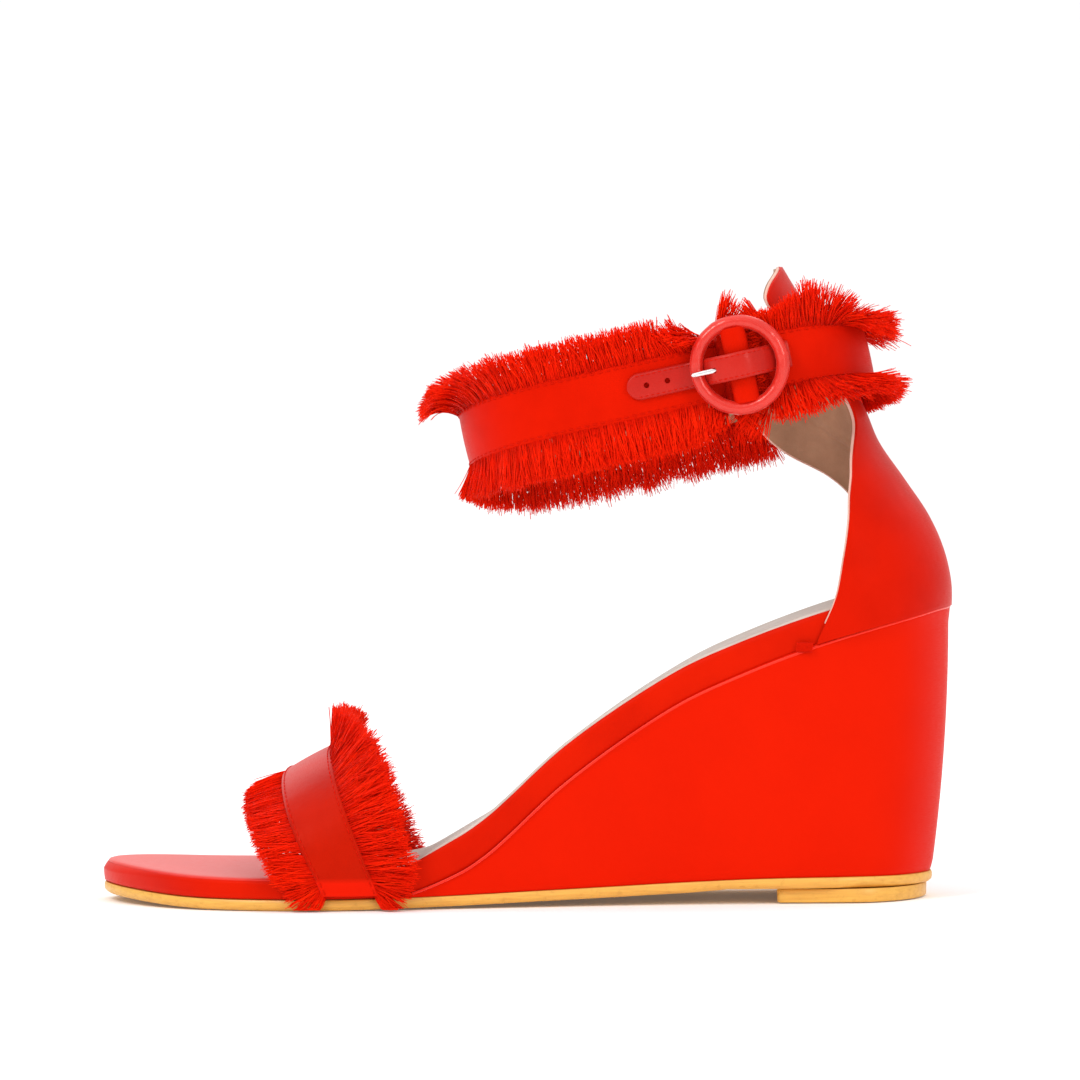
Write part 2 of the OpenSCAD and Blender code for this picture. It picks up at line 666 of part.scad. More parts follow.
// Path of the strap in the loop's plane, from the rear band, over the bar and under both rims, to its tip
strap_out = lining_t + band_t + 0.25;
strap_path = [
  [-8, strap_out], [4, strap_out],
  [bar_u - ring_r - 2, strap_out + 0.1], [bar_u - ring_r + 1.2, strap_out + 0.5],
  [bar_u - 5.4, bar_out - 0.4], [bar_u - 2.8, bar_out + bar_r + 1.3], [bar_u, bar_out + bar_r + 1.6],
  [bar_u + 2.8, bar_out + bar_r + 1.1], [bar_u + 6, bar_out - 1], [bar_u + 9.4, strap_out + 0.3],
  [bar_u + 14, strap_out]
];
function strap_at(i, k) =
  let (n = len(strap_path) - 1)
  curve(strap_path[max(i - 1, 0)], strap_path[i], strap_path[min(i + 1, n)], strap_path[min(i + 2, n)], k);
strap_line = concat(
  [for (i = [0:len(strap_path) - 2]) for (k = [0:3]) strap_at(i, k / 4)], [strap_path[len(strap_path) - 1]]
);
// Loop's fall in v along its rounded back, so the strap follows the rear band
strap_bend_r = loop_r + strap_out;
function back_fall(u) =
  u > straight / 2 ? strap_bend_r - sqrt(strap_bend_r * strap_bend_r - pow(u - straight / 2, 2)) : 0;
function strap_normal(i) =
  let (d = unit(strap_line[min(i + 1, len(strap_line) - 1)] - strap_line[max(i - 1, 0)])) [-d[1], d[0]];
module buckle_strap() {
  last = len(strap_line) - 1;
  color(red)
    difference() {
      sheet(
        [for (i = [0:last]) strap_row(i, strap_t)],
        [for (i = [0:last]) strap_row(i, 0)]
      );
      at_bar() translate([-ring_r + 0.4, -12, -prong_d / 2 - 0.4]) cube([ring_r - 3, 20, prong_d + 0.8]);
    }
}
function strap_row(i, out) =
  let (p = strap_line[i] + out * strap_normal(i), half = strap_w / 2 * clamp(0.45 + i / 6, 0, 1))
  [for (h = [-half, half]) loop_place(p[0], -loop_r - p[1] + back_fall(p[0]), h)];

outsole();
heel_top_piece();
top_piece_nails();
wedge_core();
wedge_cover();
insole_board();
shank();
heel_screws();
footbed_foam();
sock_lining();
toe_cover();
rand_cover();
vamp_band();
vamp_lining();
vamp_front_fringe();
vamp_rear_fringe();
counter_outer();
counter_stiffener();
counter_lining();
counter_bartacks();
ankle_rear_band();
ankle_rear_lining();
rear_upper_fringe();
rear_lower_fringe();
ankle_front_band();
ankle_front_lining();
front_upper_fringe();
front_lower_fringe();
buckle_tab();
buckle_ring();
buckle_bar();
buckle_prong();
buckle_strap();
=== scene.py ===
import json
import math

import bmesh
import bpy
import numpy as np
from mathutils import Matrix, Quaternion, Vector


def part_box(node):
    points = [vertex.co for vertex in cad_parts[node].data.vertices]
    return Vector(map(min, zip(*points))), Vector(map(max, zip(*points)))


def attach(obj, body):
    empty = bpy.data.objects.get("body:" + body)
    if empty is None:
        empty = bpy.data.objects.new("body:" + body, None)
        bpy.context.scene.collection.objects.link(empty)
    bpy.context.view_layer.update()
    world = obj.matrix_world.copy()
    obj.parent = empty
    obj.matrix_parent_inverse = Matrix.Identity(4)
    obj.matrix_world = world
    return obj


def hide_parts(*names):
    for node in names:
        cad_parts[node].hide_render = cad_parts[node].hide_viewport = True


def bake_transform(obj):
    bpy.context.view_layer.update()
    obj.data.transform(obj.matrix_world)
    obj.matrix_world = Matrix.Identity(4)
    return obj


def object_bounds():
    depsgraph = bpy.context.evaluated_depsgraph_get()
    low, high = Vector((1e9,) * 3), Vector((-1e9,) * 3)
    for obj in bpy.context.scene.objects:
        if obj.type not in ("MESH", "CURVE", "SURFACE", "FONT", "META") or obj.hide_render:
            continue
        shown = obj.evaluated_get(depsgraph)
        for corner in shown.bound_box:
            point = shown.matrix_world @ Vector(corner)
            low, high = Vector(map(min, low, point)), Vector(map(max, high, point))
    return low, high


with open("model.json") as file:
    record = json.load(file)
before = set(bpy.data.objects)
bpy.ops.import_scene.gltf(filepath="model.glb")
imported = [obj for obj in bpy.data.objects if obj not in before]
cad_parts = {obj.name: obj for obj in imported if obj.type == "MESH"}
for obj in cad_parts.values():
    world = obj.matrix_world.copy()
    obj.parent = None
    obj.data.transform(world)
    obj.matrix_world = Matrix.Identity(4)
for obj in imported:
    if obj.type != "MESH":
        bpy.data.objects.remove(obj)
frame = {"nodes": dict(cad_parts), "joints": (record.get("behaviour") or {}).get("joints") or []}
cad_lo, cad_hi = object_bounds()

MM = 0.001                       # the script's own unit is the millimetre; meshes are written in metres
TAU = 2 * math.pi
nodes = frame["nodes"]
joints = {j["name"]: j for j in frame["joints"]}


# ---- small helpers

def box_mm(node):
    lo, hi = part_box(node)
    return np.array(lo) / MM, np.array(hi) / MM


def node_points(node):
    mesh = nodes[node].data
    co = np.empty(len(mesh.vertices) * 3, np.float32)
    mesh.vertices.foreach_get("co", co)
    return co.reshape(-1, 3).astype(float) / MM


def smooth_step(a, b, x):
    t = np.clip((np.asarray(x, float) - a) / (b - a), 0, 1)
    return t * t * (3 - 2 * t)


def table(rows, x):
    """Smooth value at x of [x, value] rows with rising x."""
    rows = np.asarray(rows, float)
    xs, ys = rows[:, 0], rows[:, 1]
    x = np.clip(np.asarray(x, float), xs[0], xs[-1])
    slopes = np.gradient(ys, xs)
    i = np.clip(np.searchsorted(xs, x, side="right") - 1, 0, len(xs) - 2)
    span = xs[i + 1] - xs[i]
    t = (x - xs[i]) / span
    t2, t3 = t * t, t * t * t
    return ((2 * t3 - 3 * t2 + 1) * ys[i] + (t3 - 2 * t2 + t) * span * slopes[i]
            + (3 * t2 - 2 * t3) * ys[i + 1] + (t3 - t2) * span * slopes[i + 1])


def wave_noise(x, seed, scale):
    """Smooth, seeded noise of about -1 to 1 with features about scale long."""
    rng = np.random.default_rng(seed)
    total = np.zeros(np.shape(x))
    for k in range(6):
        freq = TAU / scale * rng.uniform(0.35, 1.6)
        total = total + np.sin(np.asarray(x) * freq + rng.uniform(0, TAU)) * rng.uniform(0.5, 1)
    return total / 2.6


def unit(v):
    return v / np.maximum(np.linalg.norm(v, axis=-1, keepdims=True), 1e-9)


def bell(s, middle, width):
    return np.exp(-((s - middle) / width) ** 2)


def eased(a, b, n):
    return a + (b - a) * (1 - np.cos(np.linspace(0, math.pi, n))) / 2


def run_along(points):
    """Distance along a line of points, from its first point."""
    return np.concatenate([[0], np.cumsum(np.linalg.norm(np.diff(points, axis=0), axis=1))])


def columns_at(x, xs, columns):
    """Every column of an (n, k) array, read at x over xs."""
    return np.stack([np.interp(x, xs, columns[:, k]) for k in range(columns.shape[1])], -1)


# ---- mesh builders

def add_mesh(name, verts, faces, material, grain=None):
    """Mesh object from points in millimetres; grain is each point's place in its own material, in millimetres."""
    mesh = bpy.data.meshes.new(name)
    mesh.from_pydata((np.asarray(verts) * MM).tolist(), [], [tuple(f) for f in faces])
    if grain is not None:
        layer = mesh.attributes.new("grain", "FLOAT_VECTOR", "POINT")
        layer.data.foreach_set("vector", np.asarray(grain, np.float32).ravel())
    mesh.polygons.foreach_set("use_smooth", [True] * len(mesh.polygons))
    mesh.materials.append(material)
    obj = bpy.data.objects.new(name, mesh)
    bpy.context.scene.collection.objects.link(obj)
    return obj


def grid_faces(rows, cols, close_cols=False, close_rows=False, start=0, flip=False):
    r = np.arange(rows if close_rows else rows - 1)[:, None]
    c = np.arange(cols if close_cols else cols - 1)[None, :]
    a = r * cols + c
    b = r * cols + (c + 1) % cols
    d = ((r + 1) % rows) * cols + c
    e = ((r + 1) % rows) * cols + (c + 1) % cols
    quads = np.stack([a, b, e, d], -1).reshape(-1, 4) + start
    return quads[:, ::-1] if flip else quads


def end_caps(rows, cols):
    """The two end faces of a grid of closed loops."""
    return [tuple(range(cols))[::-1], tuple((rows - 1) * cols + c for c in range(cols))]


def sweep(point, stations, section, closed=False):
    """Solid that carries a section of (across, out) points along the stations of point(s, across, out)."""
    section = np.asarray(section, float)
    s = np.asarray(stations, float)[:, None]
    a = section[None, :, 0] + 0 * s
    o = section[None, :, 1] + 0 * s
    verts = point(s + 0 * a, a, o)
    rows, cols = a.shape
    faces = [tuple(q) for q in grid_faces(rows, cols, True, closed)]
    if not closed:
        faces += end_caps(rows, cols)
    grain = np.stack([s + 0 * a, a, o], -1)
    return verts.reshape(-1, 3), faces, grain.reshape(-1, 3)


def strip_section(half, thick, crown=0.15, edge=0.35, n=14, base=0.0):
    """Rounded strip: outer face crowned by crown, edges rounded over edge; runs once round the section."""
    xs = np.cos(np.linspace(math.pi, 0, n)) * half
    k = np.sqrt(np.clip(1 - np.clip((np.abs(xs) - half + edge) / edge, 0, 1) ** 2, 0, 1))
    top = base + thick * (0.5 + 0.5 * k) + crown * (1 - (xs / half) ** 2)
    low = base + thick * (0.5 - 0.5 * k)
    return np.concatenate([np.stack([xs, top], 1), np.stack([xs[::-1], low[::-1]], 1)[1:-1]])


def tubes(paths, radii, normals, sides):
    """Thin tubes along paths (count, points, 3) with radii (count, points); normals set their roll."""
    count, points, _ = paths.shape
    tangent = unit(np.gradient(paths, axis=1))
    n = normals[:, None, :] + 0 * paths
    side = unit(np.cross(tangent, n))
    up = np.cross(side, tangent)
    angles = np.arange(sides) / sides * TAU
    ring = (np.cos(angles)[:, None] * side[:, :, None, :] + np.sin(angles)[:, None] * up[:, :, None, :])
    verts = paths[:, :, None, :] + ring * radii[:, :, None, None]
    verts = verts.reshape(-1, 3)
    one = grid_faces(points, sides, True)
    step = points * sides
    starts = (np.arange(count) * step)[:, None, None]
    body = (one[None] + starts).reshape(-1, 4)
    cap = np.array([list(range(sides))[::-1], [(points - 1) * sides + k for k in range(sides)]])
    caps = (cap[None] + starts).reshape(-1, sides)
    return verts, [tuple(f) for f in body] + [tuple(f) for f in caps]


def join_parts(parts):
    """One vertex, face and grain list from several."""
    verts, faces, grains, start = [], [], [], 0
    for v, f, g in parts:
        verts.append(v)
        faces += [tuple(int(i) + start for i in face) for face in f]
        grains.append(g)
        start += len(v)
    return np.concatenate(verts), faces, np.concatenate(grains)


def clean(obj, dist_mm=0.005):
    """Merges doubled points at the tips and sets faces outwards."""
    bm = bmesh.new()
    bm.from_mesh(obj.data)
    bmesh.ops.remove_doubles(bm, verts=bm.verts, dist=dist_mm * MM)
    bmesh.ops.dissolve_degenerate(bm, edges=bm.edges, dist=dist_mm * MM)
    bmesh.ops.recalc_face_normals(bm, faces=bm.faces)
    bm.to_mesh(obj.data)
    bm.free()


def apply_modifiers(obj):
    dg = bpy.context.evaluated_depsgraph_get()
    done = bpy.data.meshes.new_from_object(obj.evaluated_get(dg), preserve_all_data_layers=True, depsgraph=dg)
    obj.modifiers.clear()
    obj.data = done


def round_edges(obj, width_mm):
    bpy.context.view_layer.objects.active = obj
    mod = obj.modifiers.new("soft edge", "BEVEL")
    mod.width = width_mm * MM
    mod.segments = 2
    mod.limit_method = "ANGLE"
    mod.angle_limit = math.radians(55)
    apply_modifiers(obj)


def piece(name, parts, material, body, nodes_shown=(), clean_mm=0.005, sharp=None, soft_edge=None):
    """Finished piece in place of CAD nodes, on the named body.

    For a body given as (a, b, start, end), these four are not used: the piece is baked in place on no body.
    """
    verts, faces, grain = parts
    obj = add_mesh(name, verts, faces, mat[material], grain)
    if clean_mm:
        clean(obj, clean_mm)
    if sharp:
        obj.data.set_sharp_from_angle(angle=math.radians(sharp))
    if soft_edge:
        round_edges(obj, soft_edge)
    if nodes_shown:
        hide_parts(*nodes_shown)
    if isinstance(body, tuple):
        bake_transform(obj)
    else:
        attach(obj, body)
    return obj


# ---- materials

class Nodes:
    """Short hand for building a node material."""

    def __init__(self, name):
        self.mat = bpy.data.materials.new(name)
        self.mat.use_nodes = True
        self.tree = self.mat.node_tree
        self.tree.nodes.clear()
        self.out = self.add("ShaderNodeOutputMaterial")
        self.bsdf = self.add("ShaderNodeBsdfPrincipled")
        self.link(self.bsdf, "BSDF", self.out, "Surface")

    def add(self, kind, **values):
        node = self.tree.nodes.new(kind)
        for key, value in values.items():
            if key in node.inputs:
                node.inputs[key].default_value = value
            else:
                setattr(node, key, value)
        return node

    def link(self, a, out, b, into):
        self.tree.links.new(a.outputs[out], b.inputs[into])

    def finish(self, source, out, into):
        """Sends an output to the shader's own input."""
        self.link(source, out, self.bsdf, into)

    def set(self, **values):
        for key, value in values.items():
            self.bsdf.inputs[key.replace("_", " ")].default_value = value

    def grain(self, scale):
        """Coordinates in the piece's own direction, multiplied by scale."""
        attribute = self.add("ShaderNodeAttribute", attribute_name="grain")
        mapping = self.add("ShaderNodeMapping")
        mapping.inputs["Scale"].default_value = scale
        self.link(attribute, "Vector", mapping, "Vector")
        return mapping

    def place(self, scale=(1, 1, 1)):
        """Coordinates in the object's own space, in millimetres, multiplied by scale."""
        coords = self.add("ShaderNodeTexCoord")
        mapping = self.add("ShaderNodeMapping")
        mapping.inputs["Scale"].default_value = [s / MM for s in scale]
        self.link(coords, "Object", mapping, "Vector")
        return mapping

    def noise(self, coords, scale=1.0, detail=3.0, rough=0.5):
        noise = self.add("ShaderNodeTexNoise")
        noise.inputs["Scale"].default_value = scale
        noise.inputs["Detail"].default_value = detail
        noise.inputs["Roughness"].default_value = rough
        self.link(coords, "Vector", noise, "Vector")
        return noise

    def graded(self, into, source, out, stops):
        """Sends an output to the shader's input through a ramp of stops."""
        self.finish(self.ramp(source, out, stops), "Color", into)

    def ramp(self, source, out, stops):
        ramp = self.add("ShaderNodeValToRGB")
        elements = ramp.color_ramp.elements
        while len(elements) < len(stops):
            elements.new(0.5)
        for element, (place, colour) in zip(elements, stops):
            element.position = place
            element.color = (*colour, 1) if len(colour) == 3 else (colour[0],) * 3 + (1,)
        self.link(source, out, ramp, "Fac")
        return ramp

    def mix(self, fac, a, b, blend="MIX"):
        node = self.add("ShaderNodeMix", data_type="RGBA", blend_type=blend)
        for slot, value in ((0, fac), (6, a), (7, b)):
            if isinstance(value, tuple) and hasattr(value[0], "outputs"):
                self.tree.links.new(value[0].outputs[value[1]], node.inputs[slot])
            elif slot == 0:
                node.inputs[slot].default_value = value
            else:
                node.inputs[slot].default_value = (*value, 1)
        return node

    def bump(self, height, out, strength, distance_mm, under=None):
        bump = self.add("ShaderNodeBump")
        bump.inputs["Strength"].default_value = strength
        bump.inputs["Distance"].default_value = distance_mm * MM
        self.link(height, out, bump, "Height")
        if under:
            self.link(under, "Normal", bump, "Normal")
        self.finish(bump, "Normal", "Normal")
        return bump


# Painted light on the satin: the first colour is the painted highlight of lit cloth and the second the painted rosy
# sheen; the third only tints the real specular reflection.
SATIN_LIT = (0.80, 0.0095, 0.0008)
SATIN_PAINTED_SHEEN = (0.86, 0.20, 0.19)
RED_GLINT = (1.0, 0.16, 0.10, 1)


def satin(name, base, deep, gloss, painted_sheen, painted_sheen_from, weave=1.0, rough=0.42, sheen=0.06, wrinkle=0.12, by_place=False,
          glint=RED_GLINT, bright_below=None):
    """Red duchesse satin, or leather with as fine a grain: cloudy tone, soft wrinkles and a painted sheen.

    The painted sheen is a rosy reflection mixed into the base colour. It starts at its start value on the way from
    facing the eye (0) to turning away (1) and grows to its full strength.
    Under bright_below, in millimetres, the cloth is painted lighter: a painted highlight."""
    m = Nodes(name)
    clouds = m.noise(m.place(), 0.06, 4)
    facing = m.add("ShaderNodeLayerWeight", Blend=0.5)
    tone = m.ramp(clouds, "Fac", [(0.3, deep), (0.62, base)])
    # painted sheen: a rosy reflection at grazing angles, mixed into the base colour
    rim = m.ramp(facing, "Facing", [(painted_sheen_from, (0, 0, 0)), (1.0, (painted_sheen, painted_sheen, painted_sheen))])
    colour = m.mix((rim, "Color"), (tone, "Color"), SATIN_PAINTED_SHEEN)
    # painted highlight: below bright_below the cloth is painted lighter, towards the lit satin colour
    if bright_below:
        height = m.add("ShaderNodeSeparateXYZ")
        m.link(m.place((1, 1, 1 / bright_below)), "Vector", height, "Vector")
        painted_light_mask = m.ramp(height, "Z", [(0.84, (0.7, 0.7, 0.7)), (1.0, (0, 0, 0))])
        colour = m.mix((painted_light_mask, "Color"), (colour, "Result"), SATIN_LIT)
    m.finish(colour, "Result", "Base Color")
    slub = m.noise(m.place((0.5, 0.5, 6)) if by_place else m.grain((0.5, 6, 0.5)), 1, 2)
    m.graded("Roughness", slub, "Fac", [(0.3, (rough - 0.07,)), (0.7, (rough + 0.09,))])
    m.set(Sheen_Weight=sheen, Sheen_Roughness=0.35, Sheen_Tint=(1, 0.35, 0.32, 1), Specular_IOR_Level=gloss,
          Specular_Tint=glint)
    creases = m.noise(m.place(), 0.14, 3, 0.55)
    soft = m.bump(creases, "Fac", wrinkle, 1.2)
    threads = m.add("ShaderNodeTexWave", wave_type="BANDS", bands_direction="DIAGONAL")
    m.link(m.place() if by_place else m.grain((1, 1, 1)), "Vector", threads, "Vector")
    threads.inputs["Scale"].default_value = 1.1
    threads.inputs["Distortion"].default_value = 0.6
    m.bump(threads, "Fac", 0.10 * weave, 0.08, under=soft)
    return m.mat


def fringe_material(name, root=(0.66, 0.0060, 0.0006), tip=(0.97, 0.0150, 0.0012)):
    """Frayed threads: grain x is each thread's own random value, grain y runs from 0 at the root to 1.

    Each thread is painted darker towards its root: painted shade where the threads crowd.
    """
    m = Nodes(name)
    attribute = m.add("ShaderNodeAttribute", attribute_name="grain")
    split = m.add("ShaderNodeSeparateXYZ")
    m.link(attribute, "Vector", split, "Vector")
    # painted shade: the root colour darkens each thread near its root
    along = m.ramp(split, "Y", [(0.0, root), (0.4, tip)])
    own = m.ramp(split, "X", [(0.0, (0.66, 0.5, 0.5)), (0.5, (0.97, 0.95, 0.95)), (1.0, (1.04, 1.7, 1.4))])
    colour = m.mix(1.0, (along, "Color"), (own, "Color"), "MULTIPLY")
    m.finish(colour, "Result", "Base Color")
    twist = m.noise(m.place(), 2.5, 2)
    m.graded("Roughness", twist, "Fac", [(0.3, (0.5,)), (0.7, (0.72,))])
    m.set(Sheen_Weight=0.05, Sheen_Roughness=0.4, Sheen_Tint=(1, 0.2, 0.15, 1), Specular_IOR_Level=0.15,
          Specular_Tint=RED_GLINT)
    m.bump(twist, "Fac", 0.25, 0.08)
    return m.mat


def leather(name, light, dark, scale=1.0, rough=0.55, relief=0.3):
    """Lining leather: fine pores, soft mottling and a dry finish."""
    m = Nodes(name)
    mottle = m.noise(m.place(), 0.12 * scale, 5, 0.6)
    m.graded("Base Color", mottle, "Fac", [(0.3, dark), (0.7, light)])
    cells = m.add("ShaderNodeTexVoronoi", feature="DISTANCE_TO_EDGE")
    m.link(m.place(), "Vector", cells, "Vector")
    cells.inputs["Scale"].default_value = 1.3 * scale
    pores = m.noise(m.place(), 2.2 * scale, 3)
    m.graded("Roughness", pores, "Fac", [(0.3, (rough - 0.1,)), (0.7, (rough + 0.15,))])
    first = m.bump(cells, "Distance", relief, 0.15)
    m.bump(pores, "Fac", relief * 0.6, 0.08, under=first)
    m.set(Specular_IOR_Level=0.3, Sheen_Weight=0.08)
    return m.mat


def sole_material(name):
    """Honey-coloured resin: faint streaks along the foot, darker scuffs and a waxy shine."""
    m = Nodes(name)
    streaks = m.noise(m.place((0.08, 0.6, 1.6)), 1, 4, 0.6)
    tone = m.ramp(streaks, "Fac", [(0.3, (0.68, 0.33, 0.050)), (0.55, (0.76, 0.40, 0.062)),
                                   (0.75, (0.80, 0.44, 0.080))])
    scuffs = m.noise(m.place(), 0.5, 6, 0.7)
    dirt = m.ramp(scuffs, "Fac", [(0.33, (0.86, 0.82, 0.76)), (0.45, (1, 1, 1))])
    colour = m.mix(0.8, (tone, "Color"), (dirt, "Color"), "MULTIPLY")
    m.finish(colour, "Result", "Base Color")
    m.graded("Roughness", scuffs, "Fac", [(0.3, (0.55,)), (0.65, (0.34,))])
    m.set(Coat_Weight=0.15, Coat_Roughness=0.3, Specular_IOR_Level=0.4)
    m.bump(scuffs, "Fac", 0.12, 0.1)
    return m.mat


def metal_material(name):
    """Bright plated steel with fine polishing lines and a few dull spots."""
    m = Nodes(name)
    lines = m.noise(m.place((8, 1, 1)), 1, 3)
    spots = m.noise(m.place(), 1.2, 4)
    m.graded("Base Color", spots, "Fac", [(0.35, (0.72, 0.70, 0.68)), (0.6, (0.90, 0.90, 0.91))])
    m.graded("Roughness", spots, "Fac", [(0.35, (0.3,)), (0.65, (0.14,))])
    m.set(Metallic=1.0)
    m.bump(lines, "Fac", 0.06, 0.05)
    return m.mat


def core_material(name, light, dark, grain_mm):
    """Granular core stock: pressed cork, fibre board or foam."""
    m = Nodes(name)
    cells = m.add("ShaderNodeTexVoronoi", feature="F1")
    m.link(m.place(), "Vector", cells, "Vector")
    cells.inputs["Scale"].default_value = 1 / grain_mm
    m.graded("Base Color", cells, "Distance", [(0.2, light), (0.7, dark)])
    flecks = m.noise(m.place(), 1.5, 4)
    m.graded("Roughness", flecks, "Fac", [(0.3, (0.75,)), (0.7, (0.95,))])
    m.bump(cells, "Distance", 0.4, 0.3)
    return m.mat


mat = {
    # The satin's base differs part by part only as painted light and shade: lightest on the wedge, darkest on the
    # toe band.
    "satin": satin("satin_red_smooth", (0.62, 0.0085, 0.0008), (0.53, 0.0065, 0.0006), 0.07, 0.03, 0.8, sheen=0.0),
    # counter: painted sheen along its turned-away back edges
    "satin_counter": satin("satin_red_counter", (0.58, 0.0080, 0.0008), (0.51, 0.0065, 0.0006), 0.14, 0.22, 0.76,
                           sheen=0.01),
    # toe band: painted highlight on its lower part and a strong painted sheen on its top
    "satin_vamp": satin("satin_red_toe_band", (0.47, 0.0085, 0.0008), (0.39, 0.0060, 0.0006), 0.25, 0.48, 0.42,
                        sheen=0.04, wrinkle=0.2, bright_below=8.6),
    "satin_wedge": satin("satin_red_wedge", (0.675, 0.0100, 0.0008), (0.65, 0.0092, 0.0008), 0.12, 0.15, 0.8,
                         weave=0.5, rough=0.5, sheen=0.02, wrinkle=0.04, by_place=True),
    "satin_rand": satin("satin_red_rand", (0.62, 0.0100, 0.0008), (0.55, 0.0080, 0.0008), 0.15, 0.05, 0.8, rough=0.4,
                        sheen=0.01, wrinkle=0.05),
    # toe top: the rosier base and the strong sheen are painted reflection of the bright floor at grazing angles
    "satin_toe": satin("satin_red_toe", (0.70, 0.05, 0.04), (0.64, 0.035, 0.03), 0.3, 0.85, 0.70, rough=0.36,
                       sheen=0.12, wrinkle=0.06),
    # lighter satin for the wedge's top fold: a painted highlight
    "satin_fold_painted_highlight": satin("satin_red_fold_painted_highlight", (0.88, 0.035, 0.020), (0.84, 0.020, 0.010), 0.8, 0.6, 0.35, weave=0.3,
                        rough=0.3),
    # ring: painted sheen on its turned-away edges
    "leather_ring": satin("red_ring_leather", (0.66, 0.020, 0.011), (0.54, 0.012, 0.007), 1.0, 0.30, 0.5, weave=0.3,
                          rough=0.25, sheen=0.04, wrinkle=0.3, glint=(1, 0.55, 0.5, 1)),
    # strap: a little painted sheen on its turned-away edges
    "leather_red": satin("red_strap_leather", (0.50, 0.015, 0.009), (0.40, 0.009, 0.006), 0.32, 0.15, 0.7, weave=0.2,
                         rough=0.33, sheen=0.02, wrinkle=0.25, glint=(1, 0.5, 0.45, 1)),
    "thread": fringe_material("stitch_thread_red", root=(0.66, 0.009, 0.001), tip=(0.66, 0.009, 0.001)),
    "fringe": fringe_material("fringe_red"),
    "lining": leather("lining_leather_brown", (0.40, 0.205, 0.115), (0.29, 0.14, 0.075)),
    "cut_edge": leather("lining_cut_edge", (0.80, 0.52, 0.42), (0.66, 0.36, 0.28), rough=0.6),
    "sock": leather("sock_leather_greige", (0.58, 0.50, 0.44), (0.46, 0.385, 0.33), rough=0.5),
    "sole": sole_material("resin_sole_honey"),
    "metal": metal_material("nickel_plate"),
    "core": core_material("pressed_core", (0.44, 0.33, 0.20), (0.24, 0.16, 0.09), 1.2),
    "foam": core_material("pad_foam", (0.82, 0.76, 0.64), (0.66, 0.6, 0.5), 0.5),
    "stiffener": core_material("stiffener_sheet", (0.78, 0.74, 0.64), (0.62, 0.58, 0.5), 0.8),
}


# ---- the foot: outline and heights from the frame

